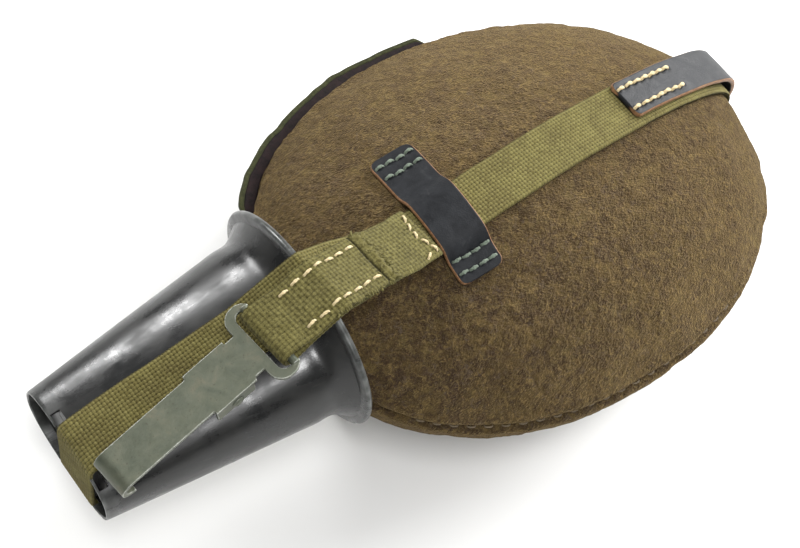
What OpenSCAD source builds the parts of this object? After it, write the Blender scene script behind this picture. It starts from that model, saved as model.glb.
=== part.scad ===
// Felt-covered flat field canteen with an upturned drinking cup over its neck, web carrying
// straps, leather strap loops and a sprung carrying hook. It lies on its front: +Z leaves the
// back face, +X is the foot of the flask and -X the base of the cup.

/* [Flask] */
// Width of the felt-covered flask
flask_w = 140; // [132:1:148]
// Length from the widest place to the neck end
neck_len = 89.8; // [84:0.2:96]
// Length from the widest place to the foot
foot_len = 98.5; // [92:0.5:104]
// Depth from the middle plane to the back face
back_depth = 35.3; // [33:0.1:38]
// Depth from the middle plane to the front face, before it is flattened
front_depth = 41.5; // [40:0.1:43]
// Thickness of the felt
felt_t = 3; // [2:0.1:4]
// Thickness of the flask wall
wall_t = 1.2; // [1:0.1:2]

/* [Neck and cap] */
// Outer radius of the neck
neck_r = 12; // [11:0.1:13]
// Outer radius of the screw cap
cap_r = 15.5; // [15:0.1:16]
// Number of grip flutes around the cap
cap_flutes = 16; // [8:1:24]

/* [Cup] */
// Length from rim to foot
cup_len = 81.6; // [76:0.2:84]
// Half width of the rim
cup_rim_w = 36; // [35:0.1:39]
// Half depth of the rim
cup_rim_d = 32.2; // [32:0.1:35]
// Half width of the foot
cup_foot_w = 21.8; // [21:0.1:24]
// Half depth of the foot
cup_foot_d = 13.2; // [12:0.1:19]
// Tilt of the cup on the neck
cup_tilt = 8.5; // [7:0.1:9]
// Sheet thickness of the cup
cup_t = 0.9; // [0.8:0.1:1.2]

/* [Straps and hook] */
// Width of the web strap
strap_w = 17; // [16:0.5:18]
// Thickness of the web strap
strap_t = 1.9; // [1.5:0.1:2]
// Width of the wider web that carries the hook
tab_w = 20.4; // [20:0.1:20.6]
// Width of the hook plate
hook_w = 12.4; // [11:0.1:13]
// Inner radius of the hook's bend
bend_r = 2.7; // [2.4:0.1:2.8]
// Thickness of the hook plate
plate_t = 1.6; // [1.4:0.1:1.8]

/* [Hidden] */

// The flask's widest place in the part's frame: the box is centred on the origin
flask_x = 32.2;
flask_y = -2.3;
mid_z = 44.2;
rest_z = 5.1;
seam_rise = 4;
neck_z = mid_z + seam_rise;

// Outline: exponents of the plan and of the cross-section, and how depth follows width
plan_n = 2.1;
section_n = 1.7;
depth_q = 1.1;
ring_r = 16.5;
seam_angle = 9;
skin_gap = 0.35;

$fn = 48;

// ---- the flask's shape ----
function spow(v, e) = sign(v) * pow(abs(v), e);
function plan_part(c) = pow(max(0, 1 - pow(abs(c), plan_n)), 1 / plan_n);
// How far a station has turned into the round neck
function neck_part(c) = c < 0 ? pow(abs(c), 6) : 0;
function blend4(a, b) = pow(pow(a, 4) + pow(b, 4), 1 / 4);
// A point at station angle t (0 at the foot, 180 at the neck) and section angle a
function flask_point(t, a, inset) =
    let (c = cos(t), s = plan_part(c), k = pow(s, depth_q), w = neck_part(c),
        ring = (ring_r - inset) * w, n = section_n + (2 - section_n) * w,
        half_w = blend4((flask_w / 2 - inset) * s, ring),
        depth = (sin(a) > 0 ? back_depth : front_depth) - inset,
        half_d = blend4(depth * k, ring),
        z = mid_z + seam_rise * w + half_d * spow(sin(a), 2 / n))
    [(c < 0 ? neck_len - inset : foot_len - inset) * c, half_w * spow(cos(a), 2 / n),
        max(z, rest_z + inset)];
function flask_ring(t, angles, inset) = [for (a = angles) flask_point(t, a, inset)];

// The line down the middle of the flask, pushed outwards by off
function profile_at(t) = let (p = flask_point(abs(t), t < 0 ? -90 : 90, 0)) [p[0], p[2]];
function profile(t, off) =
    let (p = profile_at(t), d = profile_at(t + 1.5) - profile_at(t - 1.5), l = norm(d))
    [p[0] + off * d[1] / l, p[1] - off * d[0] / l];

// ---- solids from rows of points ----
// Closes the skin between two grids of points, rows around a ring or along an arc
module grid_solid(outer, inner, ring = false, capped = false) {
    rows = len(outer);
    cols = len(outer[0]);
    last = ring ? cols : cols - 1;
    n = rows * cols;
    points = concat([for (r = outer) for (p = r) p], [for (r = inner) for (p = r) p]);
    at = function(i, j, side) side * n + i * cols + (j % cols);
    skins = [for (i = [0 : rows - 2]) for (j = [0 : last - 1]) each [
        [at(i, j, 0), at(i, j + 1, 0), at(i + 1, j + 1, 0), at(i + 1, j, 0)],
        [at(i, j, 1), at(i + 1, j, 1), at(i + 1, j + 1, 1), at(i, j + 1, 1)]]];
    mouth = [for (j = [0 : last - 1])
        [at(rows - 1, j, 0), at(rows - 1, j + 1, 0), at(rows - 1, j + 1, 1), at(rows - 1, j, 1)]];
    foot = capped
        ? [[for (j = [cols - 1 : -1 : 0]) at(0, j, 0)], [for (j = [0 : cols - 1]) at(0, j, 1)]]
        : [for (j = [0 : last - 1]) [at(0, j + 1, 0), at(0, j, 0), at(0, j, 1), at(0, j + 1, 1)]];
    sides = ring ? [] : [for (i = [0 : rows - 2]) each [
        [at(i, 0, 0), at(i + 1, 0, 0), at(i + 1, 0, 1), at(i, 0, 1)],
        [at(i + 1, cols - 1, 0), at(i, cols - 1, 0), at(i, cols - 1, 1), at(i + 1, cols - 1, 1)]]];
    polyhedron(points, concat(skins, mouth, foot, sides), convexity = 6);
}

// A strip of thickness t along a path in the XZ plane, w wide in Y
module strip(path, t, w) {
    n = len(path);
    dir = [for (i = [0 : n - 1]) let (d = path[min(i + 1, n - 1)] - path[max(i - 1, 0)]) d / norm(d)];
    side = function(s) [for (i = [0 : n - 1]) path[i] + s * t / 2 * [-dir[i][1], dir[i][0]]];
    low = side(-1);
    rotate([90, 0, 0])
        linear_extrude(height = w, center = true)
            polygon(concat(side(1), [for (i = [n - 1 : -1 : 0]) low[i]]));
}

// One thread stitch: a round-ended bar lying along X
module stitch(length, r = 0.5) {
    rotate([0, 90, 0]) cylinder(h = length - 2 * r, r = r, center = true, $fn = 16);
    for (s = [-1, 1]) translate([s * (length / 2 - r), 0, 0]) sphere(r = r, $fn = 16);
}

module on_flask() translate([flask_x, flask_y, 0]) children();

// ---- flask, neck and cap ----
foot_angle = 2;
flask_rows = 26;
around = 40;

module flask_body() {
    steps = [for (i = [0 : flask_rows]) foot_angle + (180 - foot_angle) * i / flask_rows];
    angles = [for (j = [0 : around - 1]) 360 * j / around];
    inset = felt_t + skin_gap;
    color("#a9abac") on_flask()
        grid_solid([for (t = steps) flask_ring(t, angles, inset)],
            [for (t = steps) flask_ring(t, angles, inset + wall_t)], ring = true, capped = true);
}

// Anything turned about the neck's axis, drawn along +Z from the flask outwards
neck_x = -(neck_len - felt_t - skin_gap);
neck_h = 19;
module on_neck() on_flask() translate([neck_x, 0, neck_z]) rotate([0, -90, 0]) children();

neck_bore = 9.6;
thread_pitch = 3;
thread_d = 0.5;
module flask_neck() {
    collar_r = ring_r - felt_t - skin_gap - 0.3;
    tooth = thread_pitch / 3;
    color("#b4b6b7") on_neck() rotate_extrude($fn = 64)
        polygon(concat([[neck_bore, 0], [collar_r, 0], [collar_r, 1.2], [neck_r, 2.4]],
            [for (z = [5 : thread_pitch : 14]) each [[neck_r, z], [neck_r + thread_d, z + tooth / 2],
                [neck_r + thread_d, z + tooth], [neck_r, z + 1.5 * tooth]]],
            [[neck_r, neck_h - 0.6], [neck_r - 0.6, neck_h], [neck_bore, neck_h]]));
}

gasket_t = 1.6;
module cap_gasket() {
    color("#3a2b24") on_neck() translate([0, 0, neck_h + 0.05])
        cylinder(h = gasket_t, r = neck_r + 0.2, $fn = 64);
}

cap_low = 4;
cap_top = neck_h + gasket_t + 3.4;
module cap() {
    seat = neck_h + gasket_t + 0.1;
    color("#2f2d2b") on_neck() difference() {
        rotate_extrude($fn = 64)
            polygon([[neck_r + thread_d + 0.3, cap_low], [cap_r - 0.8, cap_low], [cap_r, cap_low + 0.8],
                [cap_r, cap_top - 1.6], [cap_r - 1.6, cap_top], [0, cap_top], [0, seat],
                [neck_r + thread_d + 0.3, seat]]);
        for (i = [0 : cap_flutes - 1]) rotate([0, 0, 360 * i / cap_flutes])
            translate([cap_r + 0.9, 0, cap_low + 3]) cylinder(h = cap_top, r = 1.6, $fn = 24);
    }
}

// ---- cup ----
rim_x = -86;
rim_z = mid_z + 13;
bead_r = 1.3;
flare = 20;
skirt_h = 4.4;
cup_points = 36;

// Cup frame: Z runs from the rim's centre to the base, X towards the back face
module on_cup() on_flask() translate([rim_x, 0, rim_z]) rotate([0, -90 - cup_tilt, 0]) children();

// Half size at distance z from the rim: a straight taper that opens into a flared rim
function cup_half(z, rim, foot) =
    let (root = foot + (rim - foot) * 0.7, u = max(0, 1 - z / flare))
    foot + (root - foot) * (cup_len - z) / cup_len + (rim - root) * pow(u, 2.4);
function cup_n(z) = 2 + 0.6 * z / cup_len;
function cup_ring(z, d) =
    [for (j = [0 : cup_points - 1]) let (a = 360 * j / cup_points, e = 2 / cup_n(z))
        [(cup_half(z, cup_rim_d, cup_foot_d) + d) * spow(cos(a), e),
         (cup_half(z, cup_rim_w, cup_foot_w) + d) * spow(sin(a), e), z]];

// Heights of the rings along the wall, counted from the rim
wall_z = [4, 6.5, 10, 14, 20, 40, 60];
plate_z = cup_len - skirt_h;
slot_margin = 0.6;

// A closed solid through a row of rings, capped by its first and last rings
module loft_rings(rings) {
    rows = len(rings);
    cols = len(rings[0]);
    at = function(i, j) i * cols + (j % cols);
    walls = [for (i = [0 : rows - 2]) for (j = [0 : cols - 1])
        [at(i, j), at(i, j + 1), at(i + 1, j + 1), at(i + 1, j)]];
    polyhedron([for (r = rings) for (p = r) p], concat(walls,
        [[for (j = [cols - 1 : -1 : 0]) at(0, j)], [for (j = [0 : cols - 1]) at(rows - 1, j)]]),
        convexity = 8);
}

function skirt_ring(z) = [for (p = cup_ring(cup_len, -cup_t)) [p[0], p[1], z]];
function bead_ring(a) = [for (p = cup_ring(0, bead_r * sin(a))) [p[0], p[1], bead_r * (1 - cos(a))]];

// The base plate's underside, the foot skirt, the outer wall, the rolled bead and the inside
module cup() {
    last = len(wall_z) - 1;
    rings = concat([skirt_ring(plate_z), skirt_ring(cup_len), cup_ring(cup_len, 0)],
        [for (i = [last : -1 : 0]) cup_ring(wall_z[i], 0)],
        [for (a = [140, 95, 50, 0]) bead_ring(a)], [cup_ring(1.2, -cup_t)],
        [for (z = wall_z) cup_ring(z, -cup_t)], [cup_ring(plate_z - cup_t, -cup_t)]);
    color("#3c3e3e") on_cup() difference() {
        loft_rings(rings);
        for (s = [-1, 1]) translate([s * cup_foot_d, cup_strap_y, 0]) {
            translate([0, 0, cup_len]) cube([9, strap_w + 2 * slot_margin, 2 * strap_t + 0.8], center = true);
            translate([0, 0, cup_len - strap_t - 0.3]) cube([9, strap_w + 9, 3], center = true);
        }
    }
}

// A flat bar across the foot that the strap is drawn over
module cup_bridge() {
    bridge_d = 2 * (cup_foot_d - cup_t) - 2.6;
    h = skirt_h - strap_t - 0.35;
    color("#3c3e3e") on_cup() translate([0, cup_strap_y, plate_z + h / 2 + 0.02])
        cube([bridge_d, strap_w - 3, h - 0.04], center = true);
}

// ---- felt cover ----
seam_gap = 0.3;
module felt_panel(from, to) {
    steps = [for (i = [0 : flask_rows]) foot_angle + (180 - foot_angle) * i / flask_rows];
    pitch = 360 / around;
    first = ceil((from + 1) / pitch);
    angles = concat([from], [for (j = [first : floor((to - 1) / pitch)]) pitch * j], [to]);
    on_flask() grid_solid([for (t = steps) flask_ring(t, angles, 0)],
        [for (t = steps) flask_ring(t, angles, felt_t)]);
}
module felt_back() color("#6b5c3c") felt_panel(seam_angle + seam_gap, 180 - seam_angle - seam_gap);
module felt_front() color("#63553a") felt_panel(180 - seam_angle + seam_gap, 360 + seam_angle - seam_gap);

// Angle around the section for a stitch or snap beside the seam, on one side of the flask
stitch_count = 30;
stitch_from = 14;
stitch_to = 140;
module seam_stitches() {
    side_angle = 180 - seam_angle - 3.5;
    color("#8b7d57") on_flask()
        for (i = [0 : stitch_count - 1]) {
            t = stitch_from + (stitch_to - stitch_from) * i / (stitch_count - 1);
            p = flask_point(t, side_angle, -0.65);
            q = flask_point(t + 1, side_angle, -0.65);
            translate(p) rotate([0, 0, atan2(q[1] - p[1], q[0] - p[0])])
                rotate([0, -asin((q[2] - p[2]) / norm(q - p)), 0]) stitch(3, 0.45);
        }
}

// ---- closure on the side opposite the seam ----
closure_from = 78;
closure_to = 150;
facing_out = 3.2;
binding_w = 1.6;
facing_t = 1.6;
binding_t = 2.2;
closure_z = 2.6;
module closure_band(in_off, out_off, t) {
    edge = function(off) [for (a = [closure_from : 4 : closure_to])
        let (p = flask_point(a, 4, 0), q = flask_point(a + 1, 4, 0), d = q - p, l = norm([d[0], d[1]]))
        [p[0] + off * d[1] / l, p[1] - off * d[0] / l]];
    inner = edge(in_off);
    outer = edge(out_off);
    n = len(inner);
    translate([0, 0, mid_z + closure_z - t / 2]) linear_extrude(height = t)
        polygon(concat(inner, [for (i = [n - 1 : -1 : 0]) outer[i]]));
}
module closure_facing() color("#2c1b1d") on_flask() closure_band(0.3, facing_out, facing_t);
module closure_binding()
    color("#4c4a2c") on_flask() closure_band(facing_out + 0.02, facing_out + binding_w, binding_t);

snap_r = 4.6;
snap_h = 1.4;
snap_count = 4;
module snap_caps() {
    color("#55543f") on_flask() for (i = [0 : snap_count - 1]) {
        t = closure_from + 8 + (closure_to - closure_from - 22) * i / (snap_count - 1);
        p = flask_point(t, -14, 0);
        u = flask_point(t + 2, -14, 0) - p;
        v = flask_point(t, -11, 0) - p;
        m = cross(u, v);
        translate(p + 0.25 * m / norm(m)) rotate([0, acos(m[2] / norm(m)), atan2(m[1], m[0])])
            rotate_extrude($fn = 32) polygon([[0, 0], [snap_r, 0], [snap_r, 0.5], [snap_r - 0.5, 1],
                [snap_r - 1.6, snap_h], [0, snap_h]]);
    }
}

// ---- strap round the flask ----
strap_off = strap_t / 2 + 0.3;
strap_yaw = 4;
strap_pivot = -15;
strap_end_x = -58;
loop_leave = 120;
front_end = -124;

// The main strap's plane is turned a little across the flask
module on_strap() on_flask() translate([strap_pivot, 0, 0]) rotate([0, 0, strap_yaw])
    translate([-strap_pivot, 0, 0]) children();

// The cup's frame to plan coordinates in the middle plane: z from the rim, d from the axis
function cup_xz(z, d) = [rim_x - cos(cup_tilt) * z - sin(cup_tilt) * d,
    rim_z + cos(cup_tilt) * d - sin(cup_tilt) * z];
function cup_wall(z) = cup_half(z, cup_rim_d, cup_foot_d);
crest_d = cup_rim_d + bead_r + strap_off;
crest = cup_xz(bead_r, crest_d);
leave = profile(loop_leave, strap_off);
rise = (crest[1] - leave[1]) / (leave[0] - crest[0]);
function web_z(x) = leave[1] + (leave[0] - x) * rise;

// ---- front buckle: u runs towards the cup, w away from the felt ----
buckle_t = -127;
buckle_o = profile_at(buckle_t);
buckle_slope = let (d = profile_at(buckle_t - 2) - profile_at(buckle_t + 2)) atan2(d[1], -d[0]);
bar_r = 1.3;
bar_w = 4.5;
frame_len = 15.5;
frame_half = 10.2;
side_bar = 2.2;
roller_r = 2.1;
pin_gap = 0.05;
fold_r = bar_r + 0.15 + strap_t / 2;
tail_w = strap_off + strap_t + 0.5;
tail_end = -82;
eyelet_r = 1.5;
function buckle_xz(u, w) = buckle_o + u * [-cos(buckle_slope), sin(buckle_slope)]
    + w * [-sin(buckle_slope), -cos(buckle_slope)];
module on_buckle() on_strap() translate([buckle_o[0], 0, buckle_o[1]])
    rotate([0, 180 + buckle_slope, 0]) children();

module main_strap() {
    path = concat([[strap_end_x, web_z(strap_end_x)]],
        [for (t = [loop_leave : -5 : front_end]) profile(t, strap_off)],
        [for (a = [-90 : 30 : 90]) buckle_xz(fold_r * cos(a), bar_w + fold_r * sin(a))],
        [for (p = [[-3, 6.3], [-6, 4.6], [-10, 3.1]]) buckle_xz(p[0], p[1])]);
    color("#87804a") difference() {
        on_strap() strip(path, strap_t, strap_w);
        on_buckle() translate([1.3, 0, bar_w]) cube([9, 4.4, 8], center = true);
    }
}

// ---- strap over the cup ----
cup_strap_yaw = 0.8;
cup_strap_y0 = (strap_end_x - strap_pivot) * tan(strap_yaw);
cup_strap_y = cup_strap_y0 - 105 * tan(cup_strap_yaw);
wall_touch = 24;
module on_cup_strap() on_flask() translate([strap_end_x, cup_strap_y0, 0])
    rotate([0, 0, cup_strap_yaw]) translate([-strap_end_x, 0, 0]) children();

// One side of the strap along the cup, side +1 on the back and -1 on the front
function over_cup(side) = concat([cup_xz(bead_r, side * crest_d)],
    [for (z = [wall_touch, 34, 45, 60, 72]) cup_xz(z, side * (cup_wall(z) + strap_off + 0.1))],
    [cup_xz(cup_len - 3.2, side * (cup_foot_d + 1.8)), cup_xz(cup_len - 1.4, side * (cup_foot_d + 1.15)),
     cup_xz(cup_len - 0.85, side * (cup_foot_d - 0.6))]);
function turned(list) = [for (i = [len(list) - 1 : -1 : 0]) list[i]];

module cup_strap() {
    under = buckle_xz(21, 1.1);
    loop = concat([[strap_end_x - 0.6, web_z(strap_end_x - 0.6)]], over_cup(1), turned(over_cup(-1)),
        [under]);
    tail = concat([under + [-2, 0.1], under],
        [for (p = [[15.5, 1], [10, 2.7], [6, 6.5], [2.5, 8.9], [-2, 8.95], [-6, 7.1], [-10, 5.35], [-15, 2.8]])
            buckle_xz(p[0], p[1])],
        [for (t = [-114 : 4 : tail_end]) profile(t, tail_w)]);
    color("#8d8552") difference() {
        union() {
            on_cup_strap() strip(loop, strap_t, strap_w);
            on_strap() strip(tail, strap_t, strap_w);
        }
        on_buckle() translate([8, 0, 6]) cube([9, 3.4, 8], center = true);
        for (t = eyelet_at) at_tail(t) cylinder(h = 8, r = eyelet_r + 0.35, center = true);
    }
}

eyelet_at = [-90, -96, -102];
module at_tail(t) {
    p = profile(t, tail_w);
    d = profile(t + 1, tail_w) - profile(t - 1, tail_w);
    on_strap() translate([p[0], 0, p[1]]) rotate([0, 180 - atan2(d[1], d[0]), 0]) children();
}
module strap_eyelets() {
    color("#6d6f63") for (t = eyelet_at) at_tail(t) rotate_extrude($fn = 32)
        polygon([[eyelet_r, -strap_t / 2], [eyelet_r + 0.3, -strap_t / 2], [eyelet_r + 0.3, strap_t / 2 + 0.05],
            [eyelet_r + 1.3, strap_t / 2 + 0.05], [eyelet_r + 1.1, strap_t / 2 + 0.3], [eyelet_r, strap_t / 2 + 0.3]]);
}

tip_len = 9;
tip_t = 0.4;
module strap_tip() {
    p = profile(tail_end, tail_w);
    color("#6d6f63") on_strap() translate([p[0] + 1.2 - tip_len / 2, 0, p[1]]) difference() {
        cube([tip_len, strap_w + 1, strap_t + 2 * tip_t + 0.1], center = true);
        translate([-1, 0, 0]) cube([tip_len, strap_w + 0.1, strap_t + 0.1], center = true);
    }
}

keeper_t = -113.5;
keeper_w = 8;
keeper_wall = 0.6;
module strap_keeper() {
    p = profile_at(keeper_t);
    d = profile_at(keeper_t + 1) - profile_at(keeper_t - 1);
    depth = tail_w + strap_t / 2 + 0.1;
    inner = strap_w + 1;
    color("#33302c") on_strap() translate([p[0], 0, p[1]]) rotate([0, 180 - atan2(d[1], d[0]), 0])
        difference() {
            translate([-keeper_w / 2, -inner / 2 - keeper_wall, 0.4])
                cube([keeper_w, inner + 2 * keeper_wall, depth + keeper_wall - 0.4]);
            translate([-keeper_w, -inner / 2, -1]) cube([2 * keeper_w, inner, depth + 1]);
        }
}

module buckle_frame() {
    color("#6f7164") on_buckle() translate([0, 0, bar_w]) {
        for (u = [0, frame_len]) translate([u, 0, 0]) rotate([90, 0, 0])
            cylinder(h = 2 * frame_half, r = bar_r, center = true, $fn = 32);
        for (y = [-frame_half, frame_half]) translate([frame_len / 2, y, 0])
            cube([frame_len + 2 * bar_r + 0.6, side_bar, 2 * bar_r + 0.4], center = true);
    }
}

module buckle_roller() {
    color("#77796c") on_buckle() translate([frame_len, 0, bar_w]) rotate([90, 0, 0]) difference() {
        cylinder(h = strap_w, r = roller_r, center = true, $fn = 32);
        cylinder(h = strap_w + 1, r = bar_r + pin_gap, center = true, $fn = 32);
    }
}

prong_r = 0.85;
module buckle_prong() {
    knuckle_r = bar_r + 1;
    reach = frame_len + 2;
    lift = roller_r + prong_r + 0.1;
    color("#77796c") on_buckle() translate([0, 0, bar_w]) difference() {
        union() {
            rotate([90, 0, 0]) cylinder(h = 3, r = knuckle_r, center = true, $fn = 32);
            translate([0, 0, knuckle_r - prong_r]) rotate([0, 90 - atan((lift - knuckle_r + prong_r) / frame_len), 0])
                cylinder(h = reach, r = prong_r, $fn = 24);
        }
        rotate([90, 0, 0]) cylinder(h = 5, r = bar_r + pin_gap, center = true, $fn = 32);
    }
}

// ---- leather loops ----
loop_t = 1.8;
loop_w = 16;
loop_gap = 0.45;
// How far the felt falls away beside the middle line, at distance y across
function fall(t, side, y) =
    let (half_w = abs(flask_point(t, 0, 0)[1]), depth = abs(profile_at(side * t)[1] - mid_z))
    depth * (pow(1 - pow(min(1, abs(y) / half_w), section_n), 1 / section_n) - 1);
// Stands on the felt's middle line at station t, Z outwards and X along the strap
module on_profile(t, side) {
    p = profile_at(side * t);
    d = profile_at(side * t + 1.5) - profile_at(side * t - 1.5);
    translate([p[0], 0, p[1]]) rotate([0, 180 - atan2(d[1], d[0]), 0]) children();
}
// Path of a loop: ends from y = a and to y = b on the felt, and an arch over the strap at y = mid
function loop_path(t, side, a, b, mid, arch) =
    let (reach = strap_w / 2 + 4.5, lift = loop_t / 2 + loop_gap,
        flat = function(from, to) [for (i = [0 : 4]) let (y = from + (to - from) * i / 4)
            [y, fall(t, side, y) + lift]])
    concat(flat(a, mid - reach),
        [for (y = [-0.52, -0.3, 0, 0.3, 0.52]) [mid + y * strap_w, arch + loop_t / 2 - 2.4 * y * y]],
        flat(mid + reach, b));
module leather_loop(t, side, a, b, mid, arch)
    on_profile(t, side) rotate([0, 0, 90]) strip(loop_path(t, side, a, b, mid, arch), loop_t, loop_w);

// Rows of stitches through both ends of a loop
module loop_stitches(t, side, a, b) {
    lift = loop_t + loop_gap;
    color("#5f6a5c") on_profile(t, side)
        for (end = [[a, 1], [b, -1]]) for (row = [0 : 1]) for (i = [0 : 3]) {
            y = end[0] + end[1] * (3.2 + 4.6 * row);
            translate([(i - 1.5) * 3.6, y, fall(t, side, y) + lift + 0.3]) stitch(2.9, 0.5);
        }
}

back_t = 114.8;
front_t = 61;
back_ends = [-22, 27.5];
front_ends = [-26, 24];
back_mid = -1.6;
front_mid = 4.3;
back_arch = strap_off + strap_t / 2 + 1.3;
module back_loop() color("#2b2d31") on_flask()
    leather_loop(back_t, 1, back_ends[0], back_ends[1], back_mid, back_arch);
module back_loop_stitches() on_flask() loop_stitches(back_t, 1, back_ends[0], back_ends[1]);
module front_loop() color("#2b2d31") on_flask()
    leather_loop(front_t, -1, front_ends[0], front_ends[1], front_mid, back_arch);
module front_loop_stitches() on_flask() loop_stitches(front_t, -1, front_ends[0], front_ends[1]);

// Leather along the strap, round the foot of the flask
bottom_w = 14.5;
bottom_from = 66;
bottom_to = -34;
bottom_y = 1;
bottom_off = strap_off + strap_t / 2 + loop_t / 2 + 0.2;
function bottom_gap(t) = bottom_off + 2.2 * pow(max(0, 1 - pow((t - 12) / 34, 2)), 2);
module bottom_leather() {
    color("#2a2c30") on_strap() translate([0, bottom_y, 0])
        strip([for (t = [bottom_from : -4 : bottom_to]) profile(t, bottom_gap(t))], loop_t, bottom_w);
}
module bottom_leather_stitches() {
    color("#cbbf96") on_strap() for (y = [-4, 4]) for (i = [0 : 6]) {
        t = bottom_from - 2 - 3.4 * i;
        p = profile(t, bottom_gap(t) + loop_t / 2 + 0.3);
        q = profile(t + 1, bottom_gap(t + 1) + loop_t / 2 + 0.3);
        translate([p[0], bottom_y + y, p[1]]) rotate([0, 180 - atan2(q[1] - p[1], q[0] - p[0]), 0]) stitch(3.2);
    }
}

// ---- hook tab ----
tab_x = -50;
tab_y = -3.3;
tab_yaw = 8.2;
tab_t = 1.8;
bar_x = -113.6;
bar_z = mid_z + 44.8;
tab_end_x = -72;
tab_lift = strap_t / 2 + 0.45 + tab_t / 2;
fold_tab = bar_r + 0.2 + tab_t / 2;
module on_tab() on_flask() translate([tab_x, tab_y, 0]) rotate([0, 0, tab_yaw])
    translate([-tab_x, 0, 0]) children();
tab_crest = [crest[0], crest[1] + tab_lift + 0.1];
ply = tab_t + 0.15;

module hook_tab() {
    start_x = -48.6;
    lower = [[start_x, web_z(start_x) + tab_lift + 0.1], tab_crest + [8, -8 * rise], tab_crest,
        [bar_x + 7, bar_z - fold_tab + 1.9], [bar_x + 3, bar_z - fold_tab + 0.4]];
    fold = [for (a = [-90 : -30 : -270]) [bar_x + fold_tab * cos(a), bar_z + fold_tab * sin(a)]];
    upper = [[bar_x + 3, bar_z + fold_tab + 0.7], [bar_x + 7, bar_z + fold_tab + 1.2],
        tab_crest + [0, ply], tab_crest + [8, ply - 8 * rise],
        [tab_end_x - 4, web_z(tab_end_x - 4) + tab_lift + ply + 0.1],
        [tab_end_x, web_z(tab_end_x) + tab_lift + ply + 0.1]];
    color("#7f7f45") on_tab() {
        strip(concat(lower, fold, upper), tab_t, tab_w);
    }
}

// Height of the tab's upper face along it
tab_knots = [[bar_x, bar_z + fold_tab], [bar_x + 7, bar_z + fold_tab + 1.2],
    [tab_crest[0], tab_crest[1] + ply], [tab_end_x, web_z(tab_end_x) + tab_lift + ply + 0.1]];
function tab_top(x) = lookup(x, tab_knots) + tab_t / 2;
stitch_rows = 6.1;
stitch_pitch = 4.4;
module hook_tab_stitches() {
    color("#d2c79f") on_tab() for (y = [-stitch_rows, stitch_rows]) for (i = [0 : 6]) {
        x = tab_end_x - 5.4 - stitch_pitch * i;
        slope = atan((tab_top(x + 1) - tab_top(x - 1)) / 2);
        translate([x, y, tab_top(x) + 0.35]) rotate([0, -slope, 0]) stitch(3.1);
    }
}
module junction_stitches() {
    color("#d2c79f") on_tab() for (p = [[-50.5, 6.5, 70], [-51.5, 3.4, 60], [-52, 0.2, 70], [-51, -3, 110],
        [-50, -6.2, 100], [-54, -7.6, 30]])
        translate([p[0], p[1], web_z(p[0]) + tab_lift + tab_t / 2 + 0.5]) rotate([0, 0, p[2]]) stitch(2.4, 0.4);
}

// ---- hook, drawn with the tab's bar at the origin and the nose towards -X ----
hook_pitch = 17.2;
nose_x = -59.3;
eye_half = 13;
eye_r = 4.6;
arm_w = 2.4;
window = [-4.4, 2 * (eye_half - arm_w)];
shoulder = [-10.1, -25.7];
shoulder_w = 14.7;
ear_t = 1.2;
ear_h = 5.6;
leg_w = 8.2;
leg_tip = -33.5;
bend_x = nose_x + bend_r + plate_t;
rivet = [-18.5, -3.2];
rivet_r = 0.95;
module on_bar() on_tab() translate([bar_x, 0, bar_z]) rotate([0, -hook_pitch, 0]) children();

module round_rect(x0, x1, half, r) {
    translate([x0 + r, -half]) square([x1 - x0 - 2 * r, 2 * half]);
    translate([x0, -half + r]) square([x1 - x0, 2 * (half - r)]);
    for (x = [x0 + r, x1 - r]) for (y = [-half + r, half - r]) translate([x, y]) circle(r = r, $fn = 32);
}

module hook_plan() {
    difference() {
        union() {
            round_rect(-7.6, 2.2, eye_half, eye_r);
            translate([shoulder[1], -shoulder_w / 2]) square([shoulder[0] - shoulder[1] - 1, shoulder_w]);
            translate([shoulder[0] - 1.5, -6.4]) square([5, 12.8]);
            translate([bend_x, -hook_w / 2]) square([shoulder[1] - bend_x + 1, hook_w]);
        }
        round_rect(window[0], 1.4, window[1] / 2, 2.5);
        translate([-0.3, -window[1] / 2]) square([6, window[1]]);
    }
}

module hook_body() {
    top = plate_t / 2;
    color("#76796b") on_bar() difference() {
        union() {
            translate([0, 0, -top]) linear_extrude(height = plate_t) hook_plan();
            rotate([90, 0, 0]) cylinder(h = window[1] + 1, r = bar_r, center = true, $fn = 32);
            for (s = [-1, 1]) translate([shoulder[1], s * (shoulder_w - ear_t) / 2 - ear_t / 2, -top - ear_h])
                cube([shoulder[0] - shoulder[1] - 2, ear_t, ear_h + top]);
            translate([bend_x, 0, -top - bend_r]) intersection() {
                rotate([90, 0, 0]) difference() {
                    cylinder(h = hook_w, r = bend_r + plate_t, center = true);
                    cylinder(h = hook_w + 1, r = bend_r, center = true);
                }
                translate([-20, -20, -20]) cube([20, 40, 40]);
            }
            translate([bend_x, -leg_w / 2, -top - 2 * bend_r - plate_t]) cube([leg_tip - bend_x, leg_w, plate_t]);
        }
        translate([rivet[0], 0, rivet[1]]) rotate([90, 0, 0])
            cylinder(h = 30, r = rivet_r + pin_gap, center = true, $fn = 32);
    }
}

module hook_rivet() {
    color("#84867a") on_bar() translate([rivet[0], 0, rivet[1]]) rotate([90, 0, 0]) {
        cylinder(h = shoulder_w + 0.1, r = rivet_r, center = true, $fn = 32);
        for (s = [0, 1]) mirror([0, 0, s]) translate([0, 0, shoulder_w / 2 + 0.05])
            rotate_extrude($fn = 32) polygon([[0, 0], [1.9, 0], [1.9, 0.3], [1.3, 0.8], [0, 0.9]]);
    }
}

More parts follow.
